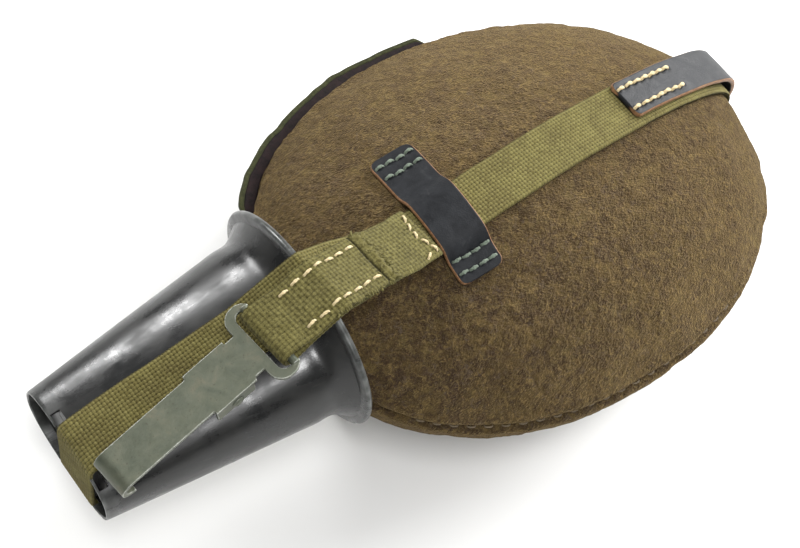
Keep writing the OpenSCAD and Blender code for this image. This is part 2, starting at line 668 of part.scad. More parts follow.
gate_w = 8.6;
gate_tip = -36;
module hook_gate() {
    color("#7c7f72") on_bar() difference() {
        union() {
            translate([rivet[0], 0, rivet[1]]) rotate([90, 0, 0]) cylinder(h = gate_w, r = 2, center = true, $fn = 32);
            translate([gate_tip, -gate_w / 2, -6]) cube([rivet[0] - gate_tip, gate_w, 1.1]);
        }
        translate([rivet[0], 0, rivet[1]]) rotate([90, 0, 0])
            cylinder(h = 20, r = rivet_r + pin_gap, center = true, $fn = 32);
    }
}

module hook_gate_spring() {
    color("#8a8c84") on_bar() for (s = [-1, 1]) translate([rivet[0], s * 5.4, rivet[1]]) rotate([90, 0, 0])
        difference() {
            cylinder(h = 1.5, r = 1.9, center = true, $fn = 32);
            cylinder(h = 4, r = rivet_r + 0.2, center = true, $fn = 32);
        }
}

flask_body();
flask_neck();
cap();
cap_gasket();
cup();
cup_bridge();
felt_back();
felt_front();
seam_stitches();
closure_facing();
closure_binding();
snap_caps();
back_loop();
back_loop_stitches();
front_loop();
front_loop_stitches();
bottom_leather();
bottom_leather_stitches();
main_strap();
cup_strap();
strap_eyelets();
strap_tip();
strap_keeper();
hook_tab();
hook_tab_stitches();
junction_stitches();
hook_body();
hook_rivet();
hook_gate();
hook_gate_spring();
buckle_frame();
buckle_prong();
buckle_roller();
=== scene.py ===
"""Looks of the felt-covered field canteen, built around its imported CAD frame.

Lengths are in millimetres and in plan coordinates, whose origin is under the flask's widest
place, until place() turns them into the frame's metres.
"""
import math

import bpy
import numpy as np
from mathutils import Matrix


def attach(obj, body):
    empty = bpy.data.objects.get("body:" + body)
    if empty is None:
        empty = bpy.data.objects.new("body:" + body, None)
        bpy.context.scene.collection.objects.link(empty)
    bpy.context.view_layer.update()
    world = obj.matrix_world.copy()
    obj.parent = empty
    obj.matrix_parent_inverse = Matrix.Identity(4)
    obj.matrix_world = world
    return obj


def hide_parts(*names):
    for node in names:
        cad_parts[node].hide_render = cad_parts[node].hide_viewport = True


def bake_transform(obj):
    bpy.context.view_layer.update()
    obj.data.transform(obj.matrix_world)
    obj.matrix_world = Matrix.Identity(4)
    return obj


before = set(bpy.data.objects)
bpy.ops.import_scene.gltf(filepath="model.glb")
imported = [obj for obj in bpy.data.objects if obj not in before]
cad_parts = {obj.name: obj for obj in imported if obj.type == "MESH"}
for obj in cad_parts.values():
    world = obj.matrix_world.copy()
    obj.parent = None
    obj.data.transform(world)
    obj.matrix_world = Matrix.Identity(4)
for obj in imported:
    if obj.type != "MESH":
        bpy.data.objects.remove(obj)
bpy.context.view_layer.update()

# ---------------------------------------------------------------- driving dimensions
FLASK_AT = np.array([32.2, -2.3, 0.0])
FLASK_W, NECK_LEN, FOOT_LEN = 140.0, 89.8, 98.5
BACK_DEPTH, FRONT_DEPTH = 35.3, 41.5
MID_Z, REST_Z, SEAM_RISE = 44.2, 5.1, 4.0
PLAN_N, SECTION_N, DEPTH_Q = 2.1, 1.7, 1.1
RING_R, SEAM_ANGLE, FELT_T = 16.5, 9.0, 3.0

CUP_LEN, CUP_TILT, CUP_T = 81.6, 8.5, 0.9
RIM_W, RIM_D, FOOT_W, FOOT_D = 36.0, 32.2, 21.8, 13.2
RIM_X, RIM_Z, BEAD_R, FLARE = -86.0, MID_Z + 13, 1.3, 20.0
# How far the base plate is sunk into the foot; the waist under the rim: its depth, place and reach
PLATE_IN, WAIST_IN, WAIST_Z, WAIST_REACH = 3.6, 1.5, 8.0, 4.2

STRAP_W, STRAP_T = 17.0, 1.9
STRAP_OFF = STRAP_T / 2 + 0.3
STRAP_YAW, STRAP_PIVOT = 4.0, -15.0
CUP_STRAP_YAW, JOIN_X = 0.8, -58.0
LOOP_LEAVE, FRONT_END, TAIL_END = 120.0, -124.0, -82.0
BUCKLE_T, BAR_R, BAR_W = -127.0, 1.3, 4.5
TAIL_W = STRAP_OFF + STRAP_T + 0.5

TAB_W, TAB_T, TAB_X, TAB_Y, TAB_YAW = 20.4, 1.8, -50.0, -3.3, 8.2
# The visible web is narrower than the CAD tab, to clear the hook as it swings
TAB_WEB_W = TAB_W - 2.2
# The tab's two rows of stitches: how far from its middle, and from stitch to stitch
ROW_Y, ROW_PITCH = 6.1, 4.4
BAR_X, BAR_Z, TAB_END_X = -113.6, MID_Z + 44.8, -72.0
LOOP_T, LOOP_W, LOOP_GAP = 1.8, 16.0, 0.45
BOTTOM_W, BOTTOM_Y, BOTTOM_FROM, BOTTOM_TO = 14.5, 1.0, 66.0, -34.0


def place(points):
    """Plan coordinates in millimetres to the frame's metres."""
    return (np.asarray(points, float) + FLASK_AT) * 0.001


def spow(v, e):
    return np.sign(v) * np.abs(v) ** e


def blend4(a, b):
    return (a ** 4 + b ** 4) ** 0.25


def sin_d(a):
    return np.sin(np.radians(a))


def cos_d(a):
    return np.cos(np.radians(a))


def unit(v):
    return v / np.linalg.norm(v, axis=-1, keepdims=True)


def run_of(line):
    """Unit tangents along a line of points."""
    return unit(np.gradient(line, axis=0))


def arc_of(line):
    """Length from the first point of a line to each of its points."""
    return np.concatenate([[0], np.cumsum(np.linalg.norm(np.diff(line, axis=0), axis=1))])


# ---------------------------------------------------------------- the flask's shape
def flask_point(t, a, inset=0.0):
    """Station angle t runs from the foot at 0 to the neck at 180, a goes round the section."""
    t, a = np.broadcast_arrays(np.asarray(t, float), np.asarray(a, float))
    c = cos_d(t)
    s = np.maximum(0, 1 - np.abs(c) ** PLAN_N) ** (1 / PLAN_N)
    w = np.where(c < 0, np.abs(c) ** 6, 0)
    ring = (RING_R - inset) * w
    n = SECTION_N + (2 - SECTION_N) * w
    half_w = blend4((FLASK_W / 2 - inset) * s, ring)
    depth = np.where(sin_d(a) > 0, BACK_DEPTH, FRONT_DEPTH) - inset
    half_d = blend4(depth * s ** DEPTH_Q, ring)
    z = MID_Z + SEAM_RISE * w + half_d * spow(sin_d(a), 2 / n)
    x = np.where(c < 0, NECK_LEN - inset, FOOT_LEN - inset) * c
    return np.stack([x, half_w * spow(cos_d(a), 2 / n), np.maximum(z, REST_Z + inset)], -1)


def profile_at(t):
    """The line down the middle of the flask as (x, z); t is negative on the front."""
    t = np.asarray(t, float)
    return flask_point(np.abs(t), np.where(t < 0, -90, 90))[..., [0, 2]]


def profile(t, off):
    p = profile_at(t)
    d = unit(profile_at(np.asarray(t) + 1.5) - profile_at(np.asarray(t) - 1.5))
    off = np.asarray(off)[..., None] if np.ndim(off) else off
    return p + off * np.stack([d[..., 1], -d[..., 0]], -1)


def fall(t, y):
    """How far the felt falls away beside its middle line, at distance y across."""
    half_w = np.abs(flask_point(abs(t), 0)[1])
    depth = abs(profile_at(t)[1] - MID_Z)
    inner = 1 - np.minimum(1, np.abs(y) / half_w) ** SECTION_N
    return depth * (inner ** (1 / SECTION_N) - 1)


# ---------------------------------------------------------------- the cup's shape
def cup_half(z, rim, foot):
    root = foot + (rim - foot) * 0.7
    u = np.maximum(0, 1 - z / FLARE)
    return foot + (root - foot) * (CUP_LEN - z) / CUP_LEN + (rim - root) * u ** 2.4


def cup_xz(z, d):
    """A point at z from the rim and d from the cup's axis, in the plane of its axis."""
    c, s = cos_d(CUP_TILT), sin_d(CUP_TILT)
    return np.array([RIM_X - c * z - s * d, RIM_Z + c * d - s * z])


def cup_wall(z):
    return cup_half(z, RIM_D, FOOT_D)


# ---------------------------------------------------------------- noise and meshes
def noise3(points, size, seed=0):
    """Smooth value noise from -1 to 1 with features of about the given size."""
    q = np.asarray(points, float) / size
    base = np.floor(q).astype(np.int64)
    f = q - base
    f = f * f * (3 - 2 * f)
    total = np.zeros(q.shape[:-1])
    for corner in range(8):
        step = np.array([corner & 1, corner >> 1 & 1, corner >> 2 & 1])
        i = base + step
        h = i[..., 0] * 374761393 + i[..., 1] * 668265263 + i[..., 2] * 1440662683 + seed * 974711
        h = (h ^ (h >> 13)) * 1274126177 & 0xFFFFFFFF
        h = (h ^ (h >> 16)) & 0xFFFF
        weight = np.prod(np.where(step == 1, f, 1 - f), -1)
        total += weight * (h / 32767.5 - 1)
    return total


def in_scene(name, data):
    obj = bpy.data.objects.new(name, data)
    bpy.context.scene.collection.objects.link(obj)
    return obj


def signed_volume(verts, faces):
    a, b, c = verts[faces[:, 0]], verts[faces[:, 1]], verts[faces[:, 2]]
    volume = np.einsum("ij,ij->i", a, np.cross(b, c)).sum()
    if faces.shape[1] == 4:
        d = verts[faces[:, 3]]
        volume += np.einsum("ij,ij->i", a, np.cross(c, d)).sum()
    return volume


def make_object(name, points, quads, tris=None, attrs=None):
    """A mesh object from plan points and faces, turned so that its faces look outwards."""
    verts = place(points)
    quads = np.asarray(quads, np.int64).reshape(-1, 4)
    tris = np.zeros((0, 3), np.int64) if tris is None else np.asarray(tris, np.int64).reshape(-1, 3)
    centred = verts - verts.mean(0)
    if signed_volume(centred, quads) + signed_volume(centred, tris) < 0:
        quads, tris = quads[:, ::-1], tris[:, ::-1]
    mesh = bpy.data.meshes.new(name)
    mesh.vertices.add(len(verts))
    mesh.vertices.foreach_set("co", verts.astype(np.float32).ravel())
    loops = np.concatenate([quads.ravel(), tris.ravel()]).astype(np.int32)
    mesh.loops.add(len(loops))
    mesh.loops.foreach_set("vertex_index", loops)
    mesh.polygons.add(len(quads) + len(tris))
    starts = np.concatenate([np.arange(len(quads)) * 4, len(quads) * 4 + np.arange(len(tris)) * 3])
    mesh.polygons.foreach_set("loop_start", starts.astype(np.int32))
    mesh.update(calc_edges=True)
    for key, values in (attrs or {}).items():
        layer = mesh.attributes.new(key, "FLOAT", "POINT")
        layer.data.foreach_set("value", np.asarray(values, np.float32).ravel())
    mesh.shade_smooth()
    return in_scene(name, mesh)


def grid_quads(index, flip=False):
    """Quads between the neighbours in a grid of vertex numbers."""
    quad = np.stack([index[:-1, :-1], index[:-1, 1:], index[1:, 1:], index[1:, :-1]], -1).reshape(-1, 4)
    return quad[:, ::-1] if flip else quad


class Parts:
    """Collects lofted tubes into one mesh."""

    def __init__(self):
        self.points, self.quads, self.tris, self.attrs, self.count = [], [], [], {}, 0

    def loft(self, rings, attrs=None):
        rings = np.asarray(rings, float)
        rows, cols = rings.shape[:2]
        index = self.count + np.arange(rows * cols).reshape(rows, cols)
        index = np.hstack([index, index[:, :1]])
        self.quads.append(grid_quads(index))
        for hub, low, high in ((0, index[0, 1:], index[0, :-1]), (1, index[-1, :-1], index[-1, 1:])):
            self.tris.append(np.stack([np.full(cols, self.count + rows * cols + hub), low, high], -1))
        self.points.append(np.vstack([rings.reshape(-1, 3), rings[0].mean(0), rings[-1].mean(0)]))
        for k, v in (attrs or {}).items():
            v = np.broadcast_to(v, (rows, cols)).reshape(-1)
            self.attrs.setdefault(k, []).append(np.append(v, [v[:cols].mean(), v[-cols:].mean()]))
        self.count += rows * cols + 2

    def build(self, name):
        attrs = {k: np.concatenate(v) for k, v in self.attrs.items()}
        return make_object(name, np.vstack(self.points), np.vstack(self.quads), np.vstack(self.tris), attrs)


def one_loft(name, rings, attrs):
    parts = Parts()
    parts.loft(rings, attrs)
    return parts.build(name)


def smooth_path(points, step, sigma):
    """Points every step along a polyline, with its corners rounded over about sigma."""
    points = np.asarray(points, float)
    length = arc_of(points)
    count = max(8, int(round(length[-1] / step)))
    at = np.linspace(0, length[-1], count + 1)
    path = np.stack([np.interp(at, length, points[:, k]) for k in range(points.shape[1])], -1)
    reach = int(math.ceil(3 * sigma / step))
    if reach:
        kernel = np.exp(-0.5 * (np.arange(-reach, reach + 1) * step / sigma) ** 2)
        kernel /= kernel.sum()
        reach = min(reach, count)
        before = 2 * path[0] - path[reach:0:-1]
        after = 2 * path[-1] - path[-2:-reach - 2:-1]
        padded = np.vstack([before, path, after])
        kernel = kernel[len(kernel) // 2 - reach:len(kernel) // 2 + reach + 1]
        kernel /= kernel.sum()
        path = np.stack([np.convolve(padded[:, k], kernel, "valid") for k in range(path.shape[1])], -1)
    return path


def turn_about(points, yaw, pivot_x):
    """Turns plan points by yaw degrees about an upright axis through pivot_x."""
    points = np.asarray(points, float)
    c, s = cos_d(yaw), sin_d(yaw)
    x, y = points[..., 0] - pivot_x, points[..., 1]
    return np.stack([pivot_x + c * x - s * y, s * x + c * y, points[..., 2]], -1)


def frames_of(centre, side):
    """Outward normals of a strip with this centre line, whose width runs along side."""
    return unit(np.cross(side, run_of(centre)))


def flat_strip(path_xz, yaw_of, base_of):
    """Lifts an (x, z) path into plan space: yaw_of and base_of give yaw and sideways place at x."""
    yaw = yaw_of(path_xz[:, 0])
    centre = np.stack([path_xz[:, 0], base_of(path_xz[:, 0]), path_xz[:, 1]], -1)
    side = np.stack([-sin_d(yaw), cos_d(yaw), np.zeros(len(yaw))], -1)
    return centre, side, frames_of(centre, side)


def smoothstep(x, a, b):
    t = np.clip((x - a) / (b - a), 0, 1)
    return t * t * (3 - 2 * t)


# ---------------------------------------------------------------- weave
def weave(u, v):
    """Height of a plain weave from 0 to 1, and 1 where its warp is on top.

    u counts warp yarns across, v weft yarns along.
    """
    i, j = np.floor(u), np.floor(v)
    a, b = u - i - 0.5, v - j - 0.5
    over = np.where((i + j) % 2 < 0.5, 1.0, -1.0)
    crimp, body = 0.5, 0.55
    warp = crimp * over * np.cos(np.pi * b) + body * np.sqrt(np.maximum(0, 1 - (2 * a) ** 2))
    weft = -crimp * over * np.cos(np.pi * a) + body * np.sqrt(np.maximum(0, 1 - (2 * b) ** 2))
    return np.clip(np.maximum(warp, weft), 0, 1.1) / 1.05, (warp > weft).astype(float)


def web_section(centre, side, normal, width, thick, columns, pitch, relief, step, seed, ribs=0.0,
                pinch=0.0, ragged=0.12, both=False):
    """Rings of a woven web with rounded selvages; the inner face is plain unless both are woven."""
    rows = len(centre)
    top_n = columns * 5 + 1
    low_n = top_n if both else 15

    def wide(values, n=3):
        return np.broadcast_to(values, (rows, n))

    s = np.arange(rows) * step
    v = s / pitch
    u = np.linspace(0, columns, top_n)
    top_y = (u / columns - 0.5) * width
    height, warp = weave(u[None, :], v[:, None])
    if ribs:
        ridge = 0.5 + 0.5 * np.cos(2 * np.pi * v)[:, None]
        height = (1 - ribs) * height + ribs * ridge
    edge = np.clip((width / 2 - np.abs(top_y)) / (width / columns), 0, 1)
    crown = np.sqrt(1 - (1 - edge) ** 2)
    top_z = (thick / 2 - relief + relief * height) * (0.35 + 0.65 * crown)[None, :]
    bulge = 0.18 + 0.1 * np.cos(2 * np.pi * v)
    waist = np.zeros(rows) + pinch
    edge_z = np.array([0.22, 0.02, -0.2]) * thick
    edge_y = width / 2 + bulge[:, None] * np.array([0.8, 1.0, 0.8])[None, :]
    edge_y[:, 1] -= 0.55 * waist
    low_y = np.linspace(width / 2, -width / 2, low_n)
    low_z = -thick / 2 * np.sqrt(np.clip(1.05 - (np.abs(low_y) / (width / 2)) ** 12, 0.1, 1))
    low_shade, low_warp = np.full((rows, low_n), 0.6), np.full((rows, low_n), 0.5)
    if both:
        low_z = low_z[None, :] + relief * (1 - height[:, ::-1]) * crown[None, ::-1]
        low_shade, low_warp = height[:, ::-1], warp[:, ::-1]
    else:
        low_z = low_z[None, :] + 0.12 * relief * np.cos(2 * np.pi * v)[:, None]
    y = np.concatenate([wide(top_y, top_n), edge_y, wide(low_y, low_n), -edge_y[:, ::-1]], 1)
    z = np.concatenate([top_z, wide(edge_z), low_z, wide(edge_z[::-1])], 1)
    wander = ragged * noise3(np.stack([s, s * 0, s * 0], -1), 9, seed)
    y = y * (1 + 0.25 * wander / width)[:, None] + wander[:, None]
    rings = centre[:, None] + y[..., None] * side[:, None] + z[..., None] * normal[:, None]
    # The height attribute also sets painted shade in the material: the selvages and the plain inner face are
    # given a middle value.
    selvage = np.full((rows, 3), 0.55)
    shade = np.concatenate([height, selvage, low_shade, selvage], 1)
    # Painted shade: where the web is pinched under the leather, its selvages are darkened.
    shade[:, top_n + 1] -= 0.5 * waist
    shade[:, -2] -= 0.5 * waist
    warp_face = np.concatenate([warp, selvage, low_warp, selvage], 1)
    across = np.concatenate([wide(u, top_n), wide(columns), wide(np.linspace(columns, 0, low_n), low_n),
                             wide(0)], 1)
    along = np.broadcast_to(v[:, None], across.shape)
    return rings, {"height": shade, "warp": warp_face, "across": across, "along": along}


def slab_section(centre, side, normal, half_width, thick, round_r, top_n, dents=()):
    """Rings of a strip with soft edges; half_width is one number per ring."""
    rows = len(centre)
    edge = np.linspace(90, -90, 7)[1:-1]
    hw = np.asarray(half_width, float)[:, None]
    r = np.minimum(round_r, thick / 2)
    top_y = np.linspace(-1, 1, top_n)[None, :] * (hw - r * 0.8)
    edge_y = hw - r + r * cos_d(edge)[None, :]
    edge_z = np.broadcast_to(sin_d(edge) * thick / 2, (rows, len(edge)))
    y = np.concatenate([top_y, edge_y, top_y[:, ::-1], -edge_y[:, ::-1]], 1)
    top_z = np.full((rows, top_n), thick / 2)
    z = np.concatenate([top_z, edge_z, -top_z, edge_z[:, ::-1]], 1)
    rings = centre[:, None] + y[..., None] * side[:, None] + z[..., None] * normal[:, None]
    if dents:
        top = rings[:, :top_n]
        depth = np.zeros(top.shape[:2])
        for point, radius, amount in dents:
            far = np.linalg.norm(top - point, axis=-1)
            depth = np.maximum(depth, amount * np.exp(-(far / radius) ** 2))
        rings[:, :top_n] -= depth[..., None] * normal[:, None]
    cut = np.zeros((rows, y.shape[1]))
    cut[:, top_n:top_n + 5] = 1
    cut[:, -5:] = 1
    return rings, {"cut": cut}


def stitch_rings(a, b, normal, r, lift):
    """One raised thread stitch from a to b that dives into the cloth at both ends."""
    a, b, normal = (np.asarray(p, float) for p in (a, b, normal))
    s = np.linspace(0, 1, 17)
    rise = lift * np.sin(np.pi * s) ** 0.55 - (0.9 * r + 0.25) * (1 - np.sin(np.pi * s) ** 0.35)
    line = a + (b - a) * s[:, None] + rise[:, None] * normal
    tangent = run_of(line)
    side = unit(np.cross(normal, tangent))
    up = np.cross(tangent, side)
    angle = np.linspace(0, 2 * np.pi, 12, endpoint=False)
    lobes = 1 + 0.16 * np.cos(2 * (angle[None, :] - 2 * np.pi * s[:, None]))
    fat = r * (0.72 + 0.28 * np.sin(np.pi * s)[:, None]) * lobes
    return (line[:, None] + (fat * np.cos(angle))[..., None] * side[:, None]
            + (0.82 * fat * np.sin(angle))[..., None] * up[:, None])


# ---------------------------------------------------------------- materials
class Paint:
    """A material with a Principled shader and short calls for the nodes that feed it."""

    def __init__(self, name, **shader):
        self.material = bpy.data.materials.new(name)
        self.material.use_nodes = True
        self.tree = self.material.node_tree
        self.shader = self.tree.nodes["Principled BSDF"]
        for key, value in shader.items():
            self.shader.inputs[key.replace("_", " ")].default_value = value
        self.where = self.tree.nodes.new("ShaderNodeTexCoord").outputs["Object"]

    def put(self, socket, value):
        if isinstance(value, bpy.types.NodeSocket):
            self.tree.links.new(value, socket)
        else:
            socket.default_value = value

    def to(self, key, value):
        self.put(self.shader.inputs[key], value)

    def node(self, kind, out, **inputs):
        """The named output of a new shader node with these inputs."""
        node = self.tree.nodes.new("ShaderNode" + kind)
        for key, value in inputs.items():
            self.put(node.inputs[key], value)
        return node.outputs[out]

    def stretched(self, sx, sy, sz, turn=0.0):
        return self.node("Mapping", "Vector", Scale=(sx, sy, sz), Rotation=(0, 0, math.radians(turn)),
                         Vector=self.where)

    def noise(self, size, detail=3.0, rough=0.5, bend=0.0, vector=None):
        """Noise with features of about size millimetres."""
        return self.node("TexNoise", "Fac", Scale=1000.0 / size, Detail=detail, Roughness=rough,
                         Distortion=bend, Vector=vector or self.where)

    def cells(self, size, vector=None):
        return self.node("TexVoronoi", "Distance", Scale=1000.0 / size, Vector=vector or self.where)

    def attribute(self, name):
        node = self.tree.nodes.new("ShaderNodeAttribute")
        node.attribute_name = name
        return node.outputs["Fac"]

    def ramp(self, fac, *stops, smooth=False):
        node = self.tree.nodes.new("ShaderNodeValToRGB")
        elements = node.color_ramp.elements
        node.color_ramp.interpolation = "EASE" if smooth else "LINEAR"
        while len(elements) < len(stops):
            elements.new(0.5)
        for element, (at, colour) in zip(elements, stops):
            element.position = at
            colour = (colour,) * 3 if isinstance(colour, (int, float)) else colour
            element.color = (*colour, 1)
        self.put(node.inputs["Fac"], fac)
        return node.outputs["Color"]

    def mix(self, fac, a, b, blend="MIX"):
        node = self.tree.nodes.new("ShaderNodeMix")
        node.data_type = "RGBA"
        node.blend_type = blend
        self.put(node.inputs["Factor"], fac)
        for socket, value in ((node.inputs[6], a), (node.inputs[7], b)):
            self.put(socket, value if isinstance(value, bpy.types.NodeSocket) else (*value, 1))
        return node.outputs[2]

    def math(self, kind, a, b=0.0):
        node = self.tree.nodes.new("ShaderNodeMath")
        node.operation = kind
        self.put(node.inputs[0], a)
        self.put(node.inputs[1], b)
        return node.outputs[0]

    def plus(self, a, b, share):
        """a + b * share"""
        return self.math("ADD", a, self.math("MULTIPLY", b, share))

    def bump(self, height, distance):
        """Bump whose height of 1 stands distance millimetres proud."""
        self.to("Normal", self.node("Bump", "Normal", Strength=1.0, Distance=distance * 0.001, Height=height))


def felt_paint():
    p = Paint("wool_felt", Sheen_Weight=0.32, Sheen_Roughness=0.42, Specular_IOR_Level=0.06)
    p.shader.inputs["Sheen Tint"].default_value = (0.88, 0.65, 0.32, 1)
    blotch = p.noise(16, 4, 0.6, 0.4)
    clump = p.noise(2.6, 4, 0.7, 0.8)
    wool = p.noise(0.9, 3, 0.7, 1.5)
    fibres = p.cells(1.0, p.stretched(1, 2.6, 1.6, 35))
    fibres_b = p.cells(1.1, p.stretched(2.7, 1, 1.5, -20))
    base = p.ramp(blotch, (0.3, (0.042, 0.0275, 0.013)), (0.7, (0.085, 0.057, 0.0225)), smooth=True)
    for fac, low, high, colour in (
            (p.noise(8, 4, 0.65, 0.6), (0.48, 0.0), (0.62, 0.7), (0.034, 0.021, 0.018)),
            (p.noise(5.5, 4, 0.65, 0.6), (0.52, 0.0), (0.68, 0.6), (0.12, 0.09, 0.034)),
            (clump, (0.42, 0.0), (0.6, 0.85), (0.026, 0.016, 0.011)),
            (p.noise(1.9, 3, 0.7, 1.2), (0.5, 0.0), (0.66, 0.8), (0.155, 0.107, 0.042)),
            (p.noise(2.3, 3, 0.7, 0.9), (0.56, 0.0), (0.7, 0.6), (0.085, 0.064, 0.05)),
            (wool, (0.58, 0.0), (0.74, 0.6), (0.2, 0.115, 0.052)),
            (fibres, (0.04, 0.75), (0.2, 0.0), (0.25, 0.18, 0.09)),
            (fibres_b, (0.05, 0.7), (0.2, 0.0), (0.02, 0.013, 0.01))):
        base = p.mix(p.ramp(fac, low, high), base, colour)
    p.to("Base Color", base)
    p.to("Roughness", 0.95)
    fuzz = p.plus(p.math("MULTIPLY", clump, 0.9), wool, 0.6)
    p.bump(p.plus(fuzz, fibres, -0.45), 1.1)
    return p.material


def web_paint(name, light, dark, worn, fuzz):
    p = Paint(name, Sheen_Weight=0.05, Sheen_Roughness=0.5, Specular_IOR_Level=0.12)
    height, warp = p.attribute("height"), p.attribute("warp")
    across, along = p.attribute("across"), p.attribute("along")
    yarn = p.node("CombineXYZ", "Vector", X=p.math("FLOOR", across), Y=p.math("FLOOR", along))
    tone = p.node("TexWhiteNoise", "Value", Vector=yarn)
    base = p.mix(p.ramp(tone, (0.0, 0.0), (1.0, 0.5)), light, worn)
    base = p.mix(p.ramp(p.noise(7, 4, 0.6), (0.35, 0.0), (0.7, 0.7)), base, dark)
    base = p.mix(p.math("MULTIPLY", warp, 0.25), base, worn)
    hair = p.math("SUBTRACT", p.noise(0.75, 4, 0.75, 1.2), 0.5)
    cover = p.plus(height, hair, fuzz)
    # Painted shade: the lower a yarn lies, the darker it is made, as if shade fell between the yarns; the
    # selvages and the plain inner face get a middle share of it.
    painted_gap_shade = p.ramp(cover, (0.1, 0.09), (0.45, 0.55), (0.8, 1.0))
    base = p.mix(1.0, base, painted_gap_shade, "MULTIPLY")
    strands = p.noise(0.22, 2, 0.6, 0.5)
    base = p.mix(p.ramp(strands, (0.45, 0.0), (0.75, 0.45)), base, worn)
    p.to("Base Color", base)
    p.to("Roughness", p.ramp(height, (0.2, 1.0), (0.9, 0.8)))
    p.bump(p.plus(p.noise(0.9, 3, 0.6, 0.4), strands, 0.4), 0.3)
    return p.material


def thread_paint(name, light, dark):
    p = Paint(name, Sheen_Weight=0.15, Specular_IOR_Level=0.3)
    ply = p.noise(0.45, 3, 0.6, 0.6)
    p.to("Base Color", p.ramp(ply, (0.3, dark), (0.65, light)))
    p.to("Roughness", p.ramp(ply, (0.3, 0.85), (0.7, 0.6)))
    p.bump(p.noise(0.25, 2, 0.5), 0.1)
    return p.material


def leather_paint():
    p = Paint("black_leather", Specular_IOR_Level=0.2)
    grain = p.cells(0.55)
    crease = p.noise(1.6, 4, 0.6, 1.0)
    scuff = p.noise(5, 4, 0.65, 0.5)
    face = p.ramp(scuff, (0.3, (0.006, 0.0066, 0.008)), (0.62, (0.013, 0.0142, 0.0165)),
                  (0.85, (0.036, 0.038, 0.04)))
    raw = p.ramp(p.noise(0.8, 3, 0.6), (0.3, (0.13, 0.062, 0.03)), (0.7, (0.3, 0.165, 0.08)))
    cut = p.ramp(p.plus(p.attribute("cut"), p.noise(1.2, 3), 0.25),
                 (0.62, 0.0), (0.8, 1.0))
    p.to("Base Color", p.mix(cut, face, raw))
    p.to("Roughness", p.ramp(scuff, (0.3, 0.4), (0.8, 0.62)))
    p.bump(p.plus(crease, grain, 0.5), 0.09)
    return p.material


def cup_paint():
    p = Paint("cup_enamel", Specular_IOR_Level=0.42)
    patch = p.noise(14, 4, 0.6, 0.3)
    scratch = p.noise(2.2, 4, 0.7, 0.0, p.stretched(0.05, 1, 1))
    dust = p.noise(0.5, 3, 0.7)
    base = p.ramp(patch, (0.3, (0.008, 0.0085, 0.0088)), (0.7, (0.017, 0.0168, 0.0155)))
    base = p.mix(p.ramp(scratch, (0.62, 0.0), (0.8, 0.3)), base, (0.1, 0.1, 0.095))
    base = p.mix(p.ramp(dust, (0.66, 0.0), (0.8, 0.25)), base, (0.1, 0.097, 0.09))
    base = p.mix(p.math("MULTIPLY", p.attribute("rim"), p.ramp(p.noise(3, 4), (0.3, 0.15), (0.7, 0.75))),
                 base, (0.2, 0.208, 0.2))
    p.to("Base Color", base)
    p.to("Roughness", p.ramp(p.plus(patch, scratch, 0.5),
                             (0.5, 0.17), (1.0, 0.46)))
    p.to("Metallic", p.ramp(p.attribute("rim"), (0.2, 0.0), (0.9, 0.5)))
    p.bump(p.plus(p.noise(9, 2), dust, 0.12), 0.12)
    return p.material


def hook_paint():
    p = Paint("hook_paint", Specular_IOR_Level=0.5)
    edge = p.node("NewGeometry", "Pointiness")
    patch = p.noise(6, 5, 0.65, 0.6)
    fleck = p.noise(0.7, 3, 0.7)
    base = p.ramp(patch, (0.3, (0.072, 0.083, 0.058)), (0.55, (0.098, 0.106, 0.074)),
                  (0.75, (0.135, 0.128, 0.088)))
    base = p.mix(p.ramp(fleck, (0.6, 0.0), (0.7, 0.6)), base, (0.05, 0.042, 0.026))
    wear = p.ramp(p.plus(edge, p.noise(1.2, 4), 0.05),
                  (0.545, 0.0), (0.575, 0.85))
    p.to("Base Color", p.mix(wear, base, (0.42, 0.43, 0.39)))
    p.to("Roughness", p.ramp(patch, (0.3, 0.38), (0.7, 0.55)))
    p.to("Metallic", p.ramp(p.noise(2.5, 4), (0.3, 0.25), (0.8, 0.6)))
    p.bump(p.math("ADD", p.noise(0.9, 4, 0.6), p.noise(4, 2)), 0.08)
    return p.material


def metal_paint(name, tone, tint, rough, grain=(1, 1, 1)):
    p = Paint(name, Specular_IOR_Level=0.5, Metallic=0.95)
    lines = p.noise(0.8, 4, 0.6, 0.0, p.stretched(*grain))
    stain = p.noise(8, 4, 0.6, 0.5)
    low, high = tuple(c * 0.75 for c in tone), tuple(min(1, c * 1.12) for c in tone)
    base = p.ramp(lines, (0.3, low), (0.7, high))
    p.to("Base Color", p.mix(p.ramp(stain, (0.5, 0.0), (0.8, 0.6)), base, tint))
    p.to("Roughness", p.ramp(stain, (0.3, rough), (0.8, min(1, rough + 0.25))))
    p.bump(lines, 0.03)
    return p.material


def plain_paint(name, low, high, rough, size=2.0, sheen=0.0, lift=0.12):
    p = Paint(name, Sheen_Weight=sheen, Specular_IOR_Level=0.2 if rough > 0.6 else 0.4)
    fine = p.noise(size * 0.3, 4, 0.65)
    p.to("Base Color", p.ramp(p.noise(size, 4, 0.6, 0.5), (0.3, low), (0.7, high)))
    p.to("Roughness", p.ramp(fine, (0.3, rough), (0.8, min(1, rough + 0.2))))
    p.bump(fine, lift)
    return p.material


